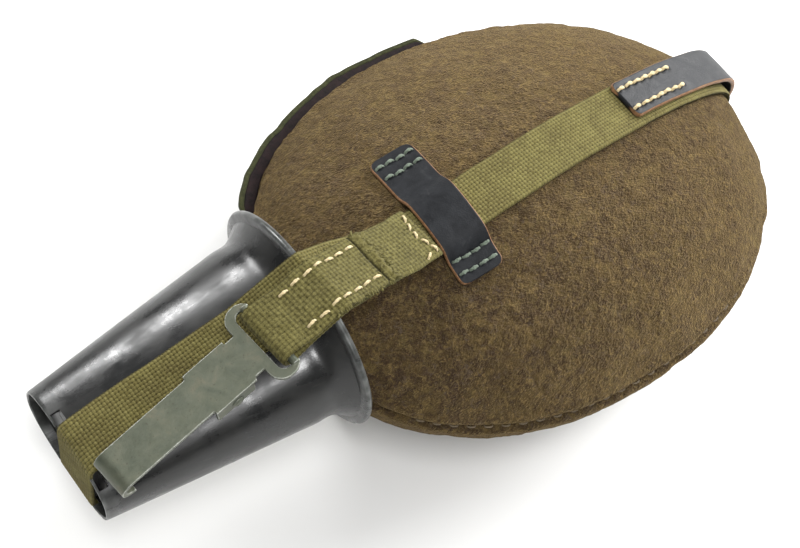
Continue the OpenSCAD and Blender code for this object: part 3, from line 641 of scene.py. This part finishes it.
FELT = felt_paint()
WEB = web_paint("olive_web", (0.13, 0.11, 0.033), (0.07, 0.052, 0.018), (0.24, 0.213, 0.078), 0.9)
TAB = web_paint("tab_web", (0.102, 0.088, 0.025), (0.054, 0.045, 0.015), (0.21, 0.187, 0.068), 1.6)
LEATHER = leather_paint()
CUP = cup_paint()
HOOK = hook_paint()
CREAM = thread_paint("cream_thread", (0.72, 0.6, 0.36), (0.4, 0.3, 0.14))
GREEN = thread_paint("green_thread", (0.17, 0.21, 0.16), (0.07, 0.09, 0.065))
FELT_THREAD = thread_paint("felt_thread", (0.17, 0.13, 0.075), (0.09, 0.065, 0.04))
FACING = plain_paint("facing_cloth", (0.004, 0.0025, 0.0025), (0.016, 0.008, 0.008), 0.75, 2.5)
BINDING = plain_paint("binding_tape", (0.016, 0.018, 0.006), (0.05, 0.052, 0.019), 0.85, 1.2, 0.05, 0.25)
SNAP = metal_paint("snap_metal", (0.16, 0.16, 0.11), (0.07, 0.065, 0.045), 0.45)
ALUMINIUM = metal_paint("bare_aluminium", (0.66, 0.67, 0.68), (0.45, 0.45, 0.44), 0.28, (1, 0.05, 0.05))
CAP = plain_paint("cap_enamel", (0.018, 0.016, 0.015), (0.04, 0.037, 0.033), 0.32, 4.0, 0.0, 0.05)
RUBBER = plain_paint("seal_rubber", (0.08, 0.03, 0.02), (0.16, 0.07, 0.05), 0.7, 2.0)
SPRING = metal_paint("spring_steel", (0.42, 0.42, 0.41), (0.2, 0.17, 0.14), 0.3)


def dress(obj, material, slot, *nodes, body="root"):
    """Gives a piece its material and its body, and hides the CAD nodes that it stands for; slot is not used.
    """
    obj.data.materials.clear()
    obj.data.materials.append(material)
    if body:
        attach(obj, body)
    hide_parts(*nodes)
    return obj


def dress_over_cup(obj, material, slot, *nodes):
    """A web over the cup, dressed without a body and with its placing baked into its points."""
    dress(obj, material, slot, *nodes, body=None)
    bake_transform(obj)


# ---------------------------------------------------------------- felt cover
def felt_cover(name, node, low, high, rows, cols, seed):
    """One felt panel: a lumpy outer face whose edges roll into the seams, and a plain lining."""
    coarse = 5
    t = np.linspace(2, 180, rows * coarse + 1)
    a = np.linspace(low, high, cols * coarse + 1)
    grid = flask_point(t[:, None], a[None, :])
    dt, da = np.gradient(grid, axis=0), np.gradient(grid, axis=1)
    normal = np.cross(dt, da)
    size = np.linalg.norm(normal, axis=-1, keepdims=True)
    normal = normal / np.maximum(size, 1e-9)
    middle = grid.mean((0, 1)) * [1, 1, 0] + [0, 0, MID_Z]
    if ((grid - middle) * normal).sum() < 0:
        normal = -normal
    lumps = (0.55 * noise3(grid, 17, seed) + 0.28 * noise3(grid, 6, seed + 1)
             + 0.17 * noise3(grid, 2.1, seed + 2) + 0.1 * noise3(grid, 0.9, seed + 3))
    to_low = np.linalg.norm(grid - grid[:, :1], axis=-1)
    to_high = np.linalg.norm(grid - grid[:, -1:], axis=-1)
    seam = np.minimum(to_low, to_high)
    ripple = 1 + 0.35 * noise3(grid, 5, seed + 4)
    lip = 0.75 * ripple * np.exp(-((seam - 2.3) / 1.5) ** 2) - 1.35 * np.exp(-(seam / 0.9) ** 2)
    round_neck = smoothstep(t, 150, 172)[:, None]
    offset = lumps * (1 - 0.5 * round_neck) + lip * (1 - round_neck)
    outer = grid + offset[..., None] * normal
    outer[..., 2] = np.maximum(outer[..., 2], REST_Z - 1.2)
    inner = flask_point(t[::coarse, None], a[None, ::coarse], FELT_T)
    points = np.vstack([outer.reshape(-1, 3), inner.reshape(-1, 3)])
    index = np.arange(len(points))
    fine, rough = (part.reshape(face.shape[:2])
                   for part, face in zip(np.split(index, [outer[..., 0].size]), (outer, inner)))
    quads = np.vstack([grid_quads(fine), grid_quads(rough, flip=True)])
    tris = []
    for f, g in ((fine[0], rough[0]), (fine[:, -1], rough[:, -1]), (fine[-1, ::-1], rough[-1, ::-1]),
                 (fine[::-1, 0], rough[::-1, 0])):
        for k in range(len(g) - 1):
            tris.append((g[k], g[k + 1], f[coarse * (k + 1)]))
            tris.extend((g[k], f[q + 1], f[q]) for q in range(coarse * k, coarse * (k + 1)))
    return dress(make_object(name, points, quads, tris), FELT, "wool_felt", node)


def seam_thread():
    """Stitches sunk in the seam on the side of the flask away from its closure."""
    parts = Parts()
    for t in np.linspace(14, 142, 34):
        p, q = (flask_point(at, 180 - SEAM_ANGLE - 1.5, -0.2) for at in (t, t + 1))
        up = unit(flask_point(t, 180 - SEAM_ANGLE - 1.5, -2) - p)
        along = unit(q - p)
        parts.loft(stitch_rings(p - 1.3 * along, p + 1.3 * along, up, 0.3, 0.1))
    dress(parts.build("seam_thread"), FELT_THREAD, "felt_thread", "seam_stitches")


felt_back = felt_cover("felt_back_cover", "felt_back", SEAM_ANGLE + 0.3, 180 - SEAM_ANGLE - 0.3, 84, 68, 11)
felt_front = felt_cover("felt_front_cover", "felt_front", 180 - SEAM_ANGLE + 0.3, 360 + SEAM_ANGLE - 0.3,
                        60, 56, 23)
seam_thread()


# ---------------------------------------------------------------- closure
def closure_line(t):
    """The felt's edge along the closure, with its outward direction in plan."""
    p, q = flask_point(t, 4), flask_point(np.asarray(t) + 1, 4)
    d = unit((q - p)[..., :2])
    return p, np.stack([d[..., 1], -d[..., 0], np.zeros(len(d))], -1)


def closure_strip(name, material, slot, node, inner, outer, thick):
    """A strip that stands out from the felt's edge in slow waves."""
    t = np.linspace(78, 150, 320)
    p, out = closure_line(t)
    arc = arc_of(p)
    line = np.stack([arc, arc * 0, arc * 0], -1)
    swing = 0.45 * noise3(line, 13, 31) + 0.25 * noise3(line, 4, 32)
    lean = 0.7 * noise3(line, 17, 33)
    end = smoothstep(arc, 0, 6) * (1 - smoothstep(arc, arc[-1] - 9, arc[-1]))
    half = (outer - inner) / 2 * (0.35 + 0.65 * end)
    middle = (inner + outer) / 2
    centre = p * [1, 1, 0] + [0, 0, MID_Z + 2.6 - thick / 2]
    centre = centre + ((middle + swing) * end - (1 - end) * 1.5)[:, None] * out
    centre[:, 2] += lean * end
    normal = np.cross(run_of(centre), out)
    normal *= np.sign(normal[:, 2:3])
    rings, attrs = slab_section(centre, out, normal, half, thick, 0.6, 9)
    dress(one_loft(name, rings, attrs), material, slot, node)


closure_strip("closure_facing_strip", FACING, "facing_cloth", "closure_facing", -0.6, 3.4, 1.5)
closure_strip("closure_binding_tape", BINDING, "binding_tape", "closure_binding", 3.1, 5.1, 2.1)


# ---------------------------------------------------------------- carrying strap
def on_flask(x):
    """1 where the strap lies as on the flask, 0 where it lies as on the cup."""
    return smoothstep(x, -84, -60)


def strap_yaw_at(x):
    return CUP_STRAP_YAW + (STRAP_YAW - CUP_STRAP_YAW) * on_flask(x)


def strap_side_at(x):
    slope, cup_slope = (math.tan(math.radians(yaw)) for yaw in (STRAP_YAW, CUP_STRAP_YAW))
    main = (x - STRAP_PIVOT) * slope
    cup = (JOIN_X - STRAP_PIVOT) * slope + (x - JOIN_X) * cup_slope
    return cup + (main - cup) * on_flask(x)


CREST_D = RIM_D + BEAD_R + STRAP_OFF
CREST = cup_xz(BEAD_R, CREST_D)
LEAVE = profile(LOOP_LEAVE, STRAP_OFF)
RISE = (CREST[1] - LEAVE[1]) / (LEAVE[0] - CREST[0])
BUCKLE_O = profile_at(BUCKLE_T)
_slope = profile_at(BUCKLE_T - 2) - profile_at(BUCKLE_T + 2)
BUCKLE_SLOPE = math.atan2(_slope[1], -_slope[0])


def web_z(x):
    return LEAVE[1] + (LEAVE[0] - x) * RISE


def buckle_xz(u, w):
    c, s = math.cos(BUCKLE_SLOPE), math.sin(BUCKLE_SLOPE)
    return np.array([BUCKLE_O[0] - c * u - s * w, BUCKLE_O[1] + s * u - c * w])


def over_cup(side):
    """One side of the strap along the cup from its rim to its foot."""
    points = [cup_xz(BEAD_R, side * CREST_D)]
    points += [cup_xz(z, side * (cup_wall(z) + STRAP_OFF + 0.1)) for z in (24, 34, 45, 60, 72)]
    points += [cup_xz(CUP_LEN - 3.2, side * (FOOT_D + 1.7)), cup_xz(CUP_LEN - 1.2, side * (FOOT_D + 0.9)),
               cup_xz(CUP_LEN - 0.7, side * (FOOT_D - 0.9))]
    return points


def carry_strap():
    """One web from the buckle's heel bar round the flask, over the cup and back to its tip."""
    fold = BAR_R + 0.15 + STRAP_T / 2
    path = [buckle_xz(u, w) for u, w in ((-10, 3.1), (-6, 4.6), (-3, 6.3))]
    path += [buckle_xz(fold * cos_d(a), BAR_W + fold * sin_d(a)) for a in range(90, -91, -20)]
    path += [profile(t, STRAP_OFF) for t in np.arange(FRONT_END, LOOP_LEAVE + 0.1, 2)]
    path += over_cup(1) + over_cup(-1)[::-1] + [buckle_xz(21, 1.1)]
    path += [buckle_xz(u, w) for u, w in ((15.5, 1), (10, 2.7), (6, 6.5), (2.5, 8.9), (-2, 8.95), (-6, 7.1),
                                          (-10, 5.35), (-15, 2.8))]
    path += [profile(t, TAIL_W) for t in np.arange(-114, TAIL_END + 0.1, 2)]
    pitch = 1.16
    step = pitch / 6
    line = smooth_path(path, step, 0.9)
    centre, side, normal = flat_strip(line, strap_yaw_at, strap_side_at)
    # Under the bottom leather the strap's selvages are pinched, and painted shade is put on them there.
    on_leather = smoothstep(centre[:, 0], 42, 48) * (normal[:, 2] > -0.6)
    rings, attrs = web_section(centre, side, normal, STRAP_W, STRAP_T, 15, pitch, 0.45, step,
                               seed=5, pinch=on_leather)
    dress_over_cup(one_loft("carry_strap", rings, attrs), WEB, "olive_web", "main_strap", "cup_strap")


carry_strap()


# ---------------------------------------------------------------- hook tab
FOLD_TAB = BAR_R + 0.2 + TAB_T / 2
TAB_LIFT = STRAP_T / 2 + 0.45 + TAB_T / 2
TAB_CREST = CREST + [0, TAB_LIFT + 0.1]
PLY = TAB_T + 0.15
TAB_TOP_KNOTS = [(BAR_X, BAR_Z + FOLD_TAB), (BAR_X + 7, BAR_Z + FOLD_TAB + 1.2),
                 (TAB_CREST[0], TAB_CREST[1] + PLY), (TAB_END_X, web_z(TAB_END_X) + TAB_LIFT + PLY + 0.1)]


def tab_top(x):
    """Height of the tab's upper face at x along it."""
    xs, zs = zip(*TAB_TOP_KNOTS)
    return np.interp(x, xs, zs) + TAB_T / 2


def tab_frame(points):
    return turn_about(points, TAB_YAW, TAB_X) + [0, TAB_Y, 0]


def loose_yarns(parts):
    """Short frayed yarns along the tab's cut end and its two edges."""
    rng = np.random.default_rng(23)
    half = TAB_WEB_W / 2 - 0.1
    turn = np.linspace(0, 2 * np.pi, 6, endpoint=False)
    for i in range(150):
        if i < 90:
            root = np.array([TAB_END_X + rng.uniform(-2.2, 1.6), rng.uniform(-half, half) * 1.05, 0])
            root[2] = tab_top(root[0]) + rng.uniform(-0.4, 0.5)
            run = np.array([rng.uniform(0.4, 2.2), rng.uniform(-1.4, 1.4), rng.uniform(-0.9, 0.7)])
        else:
            edge = 1 if i % 3 == 0 else -1
            root = np.array([rng.uniform(TAB_END_X - 26, TAB_END_X), edge * (half - rng.uniform(0, 0.5)), 0])
            root[2] = tab_top(root[0]) - rng.uniform(0.3, 1.2)
            run = np.array([rng.uniform(-1.2, 1.2), edge * rng.uniform(0.4, 1.5), rng.uniform(-0.8, 0.4)])
        bend = rng.uniform(-0.6, 0.6, 3)
        steps = np.linspace(0, 1, 6)[:, None]
        line = root + steps * run + np.sin(np.pi * steps) * bend
        radius = rng.uniform(0.22, 0.45) * np.array([1, 1, 0.9, 0.8, 0.65, 0.35])
        along = run_of(line)
        across = unit(np.cross(along, (0.2, 0.3, 1.0)))
        up = np.cross(across, along)
        tube = (line[:, None] + radius[:, None, None] * (across[:, None] * np.cos(turn)[None, :, None]
                                                        + up[:, None] * np.sin(turn)[None, :, None]))
        flat = np.ones((6, 6))
        parts.loft(tab_frame(tube), {"height": flat * rng.uniform(0.5, 1), "warp": flat,
                                     "across": flat * i, "along": flat * 0.5})


def hook_tab():
    """The tab's web, folded round the hook's bar, with a thick hem and a crease near its cut end."""
    start = -48.6
    path = [(start, web_z(start) + TAB_LIFT), (TAB_CREST[0] + 8, TAB_CREST[1] - 8 * RISE), tuple(TAB_CREST),
            (BAR_X + 7, BAR_Z - FOLD_TAB + 1.9), (BAR_X + 3, BAR_Z - FOLD_TAB + 0.4)]
    path += [(BAR_X + FOLD_TAB * cos_d(a), BAR_Z + FOLD_TAB * sin_d(a)) for a in range(-90, -271, -15)]
    path += [(BAR_X + 3, BAR_Z + FOLD_TAB + 0.7), (BAR_X + 7, BAR_Z + FOLD_TAB + 1.2),
             (TAB_CREST[0], TAB_CREST[1] + PLY), (TAB_CREST[0] + 8, TAB_CREST[1] + PLY - 8 * RISE),
             (TAB_END_X, web_z(TAB_END_X) + TAB_LIFT + PLY + 0.5),
             (TAB_END_X + 1.6, web_z(TAB_END_X + 1.6) + TAB_LIFT + PLY - 0.5)]
    pitch = 1.45
    step = pitch / 7
    line = smooth_path(path[::-1], step, 0.5)
    centre = np.stack([line[:, 0], line[:, 0] * 0, line[:, 1]], -1)
    side = np.tile([0.0, -1.0, 0.0], (len(line), 1))
    normal = frames_of(centre, side)
    if normal[len(line) // 4, 2] < 0:
        normal, side = -normal, -side
    rings, attrs = web_section(centre, side, normal, TAB_WEB_W, TAB_T, 15, pitch, 0.5, step,
                               seed=9, ribs=0.45, ragged=0.5, both=True)
    s = np.arange(len(line)) * step
    wobble = 0.5 * noise3(rings, 5, 44)
    hem_at, crease_at = 2.4, 5.2  # from the cut end
    hem = np.exp(-((s[:, None] + wobble - hem_at) / 1.5) ** 2)
    crease = np.exp(-((s[:, None] + wobble - crease_at) / 0.55) ** 2)
    lump = 0.4 * noise3(rings, 2.6, 41) + 0.3 * noise3(rings, 1.1, 42)
    outward = np.sign(np.einsum("ijk,ik->ij", rings - centre[:, None], normal)) > 0
    rings = rings + ((hem * (0.7 + lump) - 0.45 * crease) * outward)[..., None] * normal[:, None]
    # Painted light on the tab's end: the crease gets painted shade, and the raised hem gets less of the
    # painted gap shade, so it reads lighter.
    attrs["height"] = attrs["height"] * (1 - 0.5 * hem * outward) + (0.5 * hem - 0.7 * crease) * outward
    free = smoothstep(rings[..., 0], BAR_X + 4, BAR_X + 9)
    soft = (0.2 * noise3(rings, 7, 43) + 0.09 * noise3(rings, 0.8, 45)) * free
    rings = rings + soft[..., None] * normal[:, None]
    parts = Parts()
    parts.loft(tab_frame(rings), attrs)
    loose_yarns(parts)
    dress_over_cup(parts.build("hook_tab_web"), TAB, "tab_web", "hook_tab")


def tab_stitches():
    parts = Parts()
    rng = np.random.default_rng(7)
    for y in (-ROW_Y, ROW_Y):
        for i in range(7):
            x = TAB_END_X - 5.4 - ROW_PITCH * i + rng.uniform(-0.25, 0.25)
            y2 = y + rng.uniform(-0.25, 0.25)
            ends = [[x + e, y2 + rng.uniform(-0.25, 0.25), tab_top(x + e) + 0.12] for e in (-1.5, 1.5)]
            parts.loft(stitch_rings(*tab_frame(ends), (0, 0, 1), 0.43, 0.36))
    dress_over_cup(parts.build("hook_tab_thread"), CREAM, "cream_thread", "hook_tab_stitches")


def junction_stitches():
    parts = Parts()
    for x, y, turn in ((-50.5, 6.5, 70), (-51.5, 3.4, 60), (-52, 0.2, 70), (-51, -3, 110), (-50, -6.2, 100),
                       (-54, -7.6, 30)):
        z = web_z(x) + TAB_LIFT + TAB_T / 2 + 0.1
        ends = [[x + e * cos_d(turn), y + e * sin_d(turn), z] for e in (-1.3, 1.3)]
        parts.loft(stitch_rings(*tab_frame(ends), (0.28, 0, 0.96), 0.42, 0.38))
    dress_over_cup(parts.build("junction_thread"), CREAM, "cream_thread", "junction_stitches")


hook_tab()
tab_stitches()
junction_stitches()


# ---------------------------------------------------------------- leather
def on_profile(t, y, lift):
    """Point over the middle line at station t, y across and lift above the felt."""
    p = profile(t, lift)
    return np.array([p[0], y, p[1]])


def rounded_ends(s, length, half, r):
    """Half widths along a strip whose four corners are rounded with radius r."""
    near = np.minimum(s, length - s)
    inset = np.where(near < r, r - np.sqrt(np.maximum(0, r * r - (r - near) ** 2)), 0)
    return half - inset


def leather_loop(name, t, a, b, mid):
    """A leather loop across the strap, sewn down at both ends, with its stitches."""
    reach = STRAP_W / 2 + 4.5
    lift = LOOP_T / 2 + LOOP_GAP - 0.25
    arch = STRAP_OFF + STRAP_T / 2 + 1.2 + LOOP_T / 2
    path = [(y, fall(t, y) + lift) for y in np.linspace(a, mid - reach, 5)]
    path += [(mid + y * STRAP_W, arch - 2.4 * y * y) for y in (-0.52, -0.3, 0, 0.3, 0.52)]
    path += [(y, fall(t, y) + lift) for y in np.linspace(mid + reach, b, 5)]
    step = 0.4
    line = smooth_path(path, step, 1.5)
    origin = np.array([profile_at(t)[0], 0, profile_at(t)[1]])
    out = on_profile(t, 0, 1) - origin
    along = np.array([out[2], 0, -out[0]])
    centre = origin + line[:, :1] * np.array([0, 1.0, 0]) + line[:, 1:] * out
    along_rows = np.tile(along, (len(line), 1))
    normal = frames_of(centre, along_rows)
    if (normal @ out).mean() < 0:
        normal = -normal
    s = np.arange(len(line)) * step
    half = rounded_ends(s, s[-1], LOOP_W / 2, 2.4)
    edges = 0.12 * noise3(centre, 6, 51)
    threads, dents = Parts(), []
    rng = np.random.default_rng(13)
    for end, inward in ((a, 1), (b, -1)):
        for row in range(2):
            for i in range(4):
                y = end + inward * (3.2 + 4.6 * row) + rng.uniform(-0.15, 0.15)
                x = (i - 1.5) * 3.6 + rng.uniform(-0.15, 0.15)
                k = int(np.argmin(np.abs(centre[:, 1] - y)))
                top = centre[k] + normal[k] * (LOOP_T / 2 + 0.05)
                ends = [top + along * (x + e) for e in (-1.5, 1.5)]
                threads.loft(stitch_rings(ends[0], ends[1], normal[k], 0.52, 0.42))
                dents += [(p, 0.75, 0.4) for p in ends]
    rings, attrs = slab_section(centre, along_rows, normal, half + edges, LOOP_T, 0.7, 41, dents)
    rings += (0.08 * noise3(rings, 4, 52))[..., None] * normal[:, None]
    dress(one_loft(name + "_leather", rings, attrs), LEATHER, "black_leather", name)
    dress(threads.build(name + "_thread"), GREEN, "green_thread", name + "_stitches")


leather_loop("back_loop", 114.8, -22, 27.5, -1.6)
leather_loop("front_loop", -61, -26, 24, 4.3)


def bottom_gap(t):
    return STRAP_OFF + STRAP_T / 2 + LOOP_T / 2 + 0.2 + 2.2 * np.maximum(0, 1 - ((t - 12) / 34) ** 2) ** 2


def bottom_leather():
    """Leather along the strap round the foot of the flask, with two rows of thick stitches."""
    t = np.arange(BOTTOM_FROM, BOTTOM_TO - 0.1, -1.0)
    path = profile(t, bottom_gap(t))
    step = 0.4
    line = smooth_path(path, step, 1.0)
    centre, side, normal = flat_strip(line, lambda x: np.full(len(x), STRAP_YAW), strap_side_at)
    normal = -normal if normal[0, 2] < 0 else normal
    centre = centre + BOTTOM_Y * side
    s = np.arange(len(line)) * step
    half = rounded_ends(s, s[-1], BOTTOM_W / 2, 1.6) + 0.15 * noise3(centre, 8, 61)
    threads, dents = Parts(), []
    rng = np.random.default_rng(29)
    for y in (-4.0, 4.0):
        for i in range(7):
            k = int((2.4 + 4.05 * i) / step)
            ahead = int(1.75 / step)
            top = [centre[k + e] + normal[k + e] * (LOOP_T / 2 + 0.05)
                   + side[k] * (y + rng.uniform(-0.2, 0.2)) for e in (-ahead, ahead)]
            threads.loft(stitch_rings(top[0], top[1], normal[k], 0.6 + rng.uniform(-0.05, 0.08), 0.5))
            dents += [(p, 0.9, 0.45) for p in top]
    rings, attrs = slab_section(centre, side, normal, half, LOOP_T, 0.6, 37, dents)
    rings += (0.1 * noise3(rings, 5, 62))[..., None] * normal[:, None]
    dress(one_loft("bottom_leather_strip", rings, attrs), LEATHER, "black_leather", "bottom_leather")
    dress(threads.build("bottom_leather_thread"), CREAM, "cream_thread", "bottom_leather_stitches")


bottom_leather()


# ---------------------------------------------------------------- cup
CUP_STRAP_Y = strap_side_at(np.array([JOIN_X - 105.0]))[0]


def cup_frame(points):
    """The cup's own frame, Z from rim to base and X towards the back, to plan coordinates."""
    turn = Matrix.Rotation(math.radians(-90 - CUP_TILT), 3, "Y")
    return np.asarray(points) @ np.array(turn).T + [RIM_X, 0, RIM_Z]


def cup_shell():
    """The cup as one closed surface: sunk base plate, foot, wall, beaded rim and inside."""
    around = 180
    a = np.linspace(0, 360, around, endpoint=False)
    wall = np.concatenate([np.linspace(2.6, FLARE + 4, 34), np.linspace(FLARE + 6, CUP_LEN - 1.4, 26)])

    def ring(z, d, at=None):
        e = 2 / (2 + 0.6 * z / CUP_LEN)
        neck = WAIST_IN * np.exp(-((z - WAIST_Z) / WAIST_REACH) ** 2)
        x = (cup_half(z, RIM_D, FOOT_D) - neck * 0.7 + d) * spow(cos_d(a), e)
        y = (cup_half(z, RIM_W, FOOT_W) - neck + d) * spow(sin_d(a), e)
        return np.stack([x, y, np.full(around, z if at is None else at)], -1)

    plate = CUP_LEN - PLATE_IN
    rings, rim = [], []

    def add(r, worn=0.0):
        rings.append(r)
        rim.append(worn)

    for share in (0.02, 0.5, 0.8, 0.94):
        add(ring(CUP_LEN, -CUP_T - 0.6, plate) * [share, share, 1])
    add(ring(CUP_LEN, -CUP_T - 0.35, plate + 0.08))
    add(ring(CUP_LEN, -CUP_T, plate + 0.5))
    add(ring(CUP_LEN, -CUP_T, CUP_LEN - 0.4), 0.6)
    for turn in (0, 60, 120, 180):
        add(ring(CUP_LEN - 0.45, -CUP_T / 2 * (1 + cos_d(turn)), CUP_LEN - 0.45 + 0.45 * sin_d(turn)), 0.9)
    for z in wall[::-1]:
        add(ring(z, 0.0), 0.25 if z > CUP_LEN - 4 else 0.0)
    for turn in np.arange(150, -31, -15):
        add(ring(0.0, BEAD_R * sin_d(turn), BEAD_R * (1 - cos_d(turn))), 0.8 if 30 < turn < 135 else 0.35)
    add(ring(0.0, -CUP_T * 0.9, 1.0), 0.2)
    for z in wall:
        add(ring(z, -CUP_T), 0.0)
    inside = plate - CUP_T
    for share in (0.97, 0.85, 0.5, 0.02):
        add(ring(inside, -CUP_T) * [share, share, 1])
    rings = np.array(rings)
    for axis, seed in ((0, 71), (1, 72)):
        rings[..., axis] += 0.12 * noise3(rings, 24, seed) * smoothstep(rings[..., 2], 6, 20)
    obj = one_loft("cup_shell", cup_frame(rings), {"rim": np.array(rim)[:, None]})
    cutters = []
    for s in (-1, 1):
        slot = (9, STRAP_W + 1.2, 2 * STRAP_T + 0.8), CUP_LEN
        window = (9, STRAP_W + 9, 3), CUP_LEN - STRAP_T - 0.3
        for (sx, sy, sz), z in (slot, window) if s > 0 else (slot,):
            corner = np.array([[x, y, w] for x in (-0.5, 0.5) for y in (-0.5, 0.5) for w in (-0.5, 0.5)])
            corner = corner * [sx, sy, sz] + [s * FOOT_D, CUP_STRAP_Y, z]
            faces = [(0, 1, 3, 2), (4, 6, 7, 5), (0, 4, 5, 1), (2, 3, 7, 6), (0, 2, 6, 4), (1, 5, 7, 3)]
            cutters.append(make_object("slot_cutter", cup_frame(corner), faces))
    cut_out(obj, cutters)
    obj.data.set_sharp_from_angle(angle=math.radians(40))
    dress(obj, CUP, "cup_enamel", "cup", body="cup")


def cut_out(obj, cutters):
    """Cuts each cutter out of obj, and removes the cutters."""
    for cutter in cutters:
        modifier = obj.modifiers.new("cut", "BOOLEAN")
        modifier.operation = "DIFFERENCE"
        modifier.object = cutter
        modifier.solver = "EXACT"
    depsgraph = bpy.context.evaluated_depsgraph_get()
    mesh = bpy.data.meshes.new_from_object(obj.evaluated_get(depsgraph))
    obj.modifiers.clear()
    obj.data = mesh
    for cutter in cutters:
        bpy.data.objects.remove(cutter)


cup_shell()


# ---------------------------------------------------------------- CAD nodes that stay
def finish_node(name, material, voxel=0.0, rounds=0):
    """Gives a CAD node its material, and modifiers that soften its edges."""
    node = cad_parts[name]
    node.data.materials.clear()
    node.data.materials.append(material)
    if voxel:
        remesh = node.modifiers.new("soften", "REMESH")
        remesh.mode = "VOXEL"
        remesh.voxel_size = voxel * 0.001
        remesh.use_smooth_shade = True
        relax = node.modifiers.new("relax", "SMOOTH")
        relax.factor = 0.5
        relax.iterations = rounds
        return
    weld = node.modifiers.new("weld", "WELD")
    weld.merge_threshold = 0.00001
    node.data.shade_smooth()
    node.data.set_sharp_from_angle(angle=math.radians(35))


for finish in (
        ("hook_body", HOOK, 0.2, 3), ("hook_gate", HOOK, 0.15, 2), ("hook_rivet", HOOK, 0.1, 2),
        ("hook_gate_spring", SPRING, 0.1, 1), ("buckle_frame", HOOK, 0.15, 3),
        ("buckle_prong", HOOK, 0.12, 2), ("buckle_roller", HOOK, 0.12, 2),
        ("strap_tip", SNAP, 0.12, 3), ("strap_eyelets", SNAP, 0.08, 1),
        ("strap_keeper", LEATHER, 0.15, 3), ("snap_caps", SNAP, 0.15, 2), ("cup_bridge", CUP, 0.2, 2),
        ("flask_body", ALUMINIUM), ("flask_neck", ALUMINIUM), ("cap", CAP, 0.25, 3),
        ("cap_gasket", RUBBER)):
    finish_node(*finish)


# ---------------------------------------------------------------- stage
def stage():
    size = 1.1
    corners = [(-size, -size, 0), (size, -size, 0), (size, size, 0), (-size, size, 0)]
    mesh = bpy.data.meshes.new("floor")
    mesh.from_pydata(corners, [], [(0, 1, 2, 3)])
    floor = in_scene("floor", mesh)
    p = Paint("floor", Specular_IOR_Level=0.2)
    p.to("Base Color", (0.8, 0.8, 0.79, 1))
    p.to("Roughness", 0.7)
    mesh.materials.append(p.material)


def soft_light(name, at, target, size, power):
    light = bpy.data.lights.new(name, "AREA")
    light.shape = "RECTANGLE"
    light.size, light.size_y = size
    light.energy = power
    lamp = in_scene(name, light)
    back = unit(np.subtract(at, target))
    right = unit(np.cross((0, 0, 1), back))
    lamp.matrix_world = facing(at, right, np.cross(back, right))


def facing(at, right, up):
    """A light's or camera's place, from where it is and which ways its right and top point."""
    return Matrix.Translation(at) @ Matrix(np.stack([right, up, np.cross(right, up)], 1).tolist()).to_4x4()


def ceiling(world):
    """A dim horizon under a bright ceiling; the camera itself sees plain white."""
    world.use_nodes = True
    nodes, links = world.node_tree.nodes, world.node_tree.links
    coords = nodes.new("ShaderNodeTexCoord")
    split = nodes.new("ShaderNodeSeparateXYZ")
    links.new(coords.outputs["Generated"], split.inputs[0])
    ramp = nodes.new("ShaderNodeValToRGB")
    for stop, at, level in zip((0, 1), (0.12, 0.9), (0.07, 0.62)):
        ramp.color_ramp.elements[stop].position = at
        ramp.color_ramp.elements[stop].color = (level, level, level, 1)
    links.new(split.outputs["Z"], ramp.inputs[0])
    mix = nodes.new("ShaderNodeMix")
    mix.data_type = "RGBA"
    mix.inputs[7].default_value = (0.9, 0.9, 0.9, 1)
    links.new(nodes.new("ShaderNodeLightPath").outputs["Is Camera Ray"], mix.inputs[0])
    links.new(ramp.outputs[0], mix.inputs[6])
    links.new(mix.outputs[2], nodes["Background"].inputs["Color"])


def studio():
    world = bpy.data.worlds.new("studio")
    bpy.context.scene.world = world
    ceiling(world)
    soft_light("key", (-0.15, 0.86, 0.55), (-0.05, 0, 0.04), (0.14, 0.27), 6.8)
    soft_light("side", (0.95, 0.1, 0.6), (0.05, 0, 0.04), (0.8, 0.8), 24)
    soft_light("top", (-0.4, -0.29, 1.16), (-0.05, 0, 0.04), (0.32, 0.32), 6)
    soft_light("fill", (-0.16, -0.75, 0.7), (-0.05, 0, 0.05), (0.16, 0.16), 3)


def camera():
    lens = bpy.data.cameras.new("camera")
    lens.lens = 87.2
    lens.sensor_width = 36
    eye = in_scene("camera", lens)
    right, up = unit(np.array([0.783, -0.5801, 0.2247])), np.array([0.4165, 0.7571, 0.5033])
    eye.matrix_world = facing((-0.29386, -0.18448, 0.55457), right, unit(up - right * (up @ right)))
    bpy.context.scene.camera = eye


stage()
studio()
camera()
bpy.context.scene.view_settings.view_transform = "Standard"
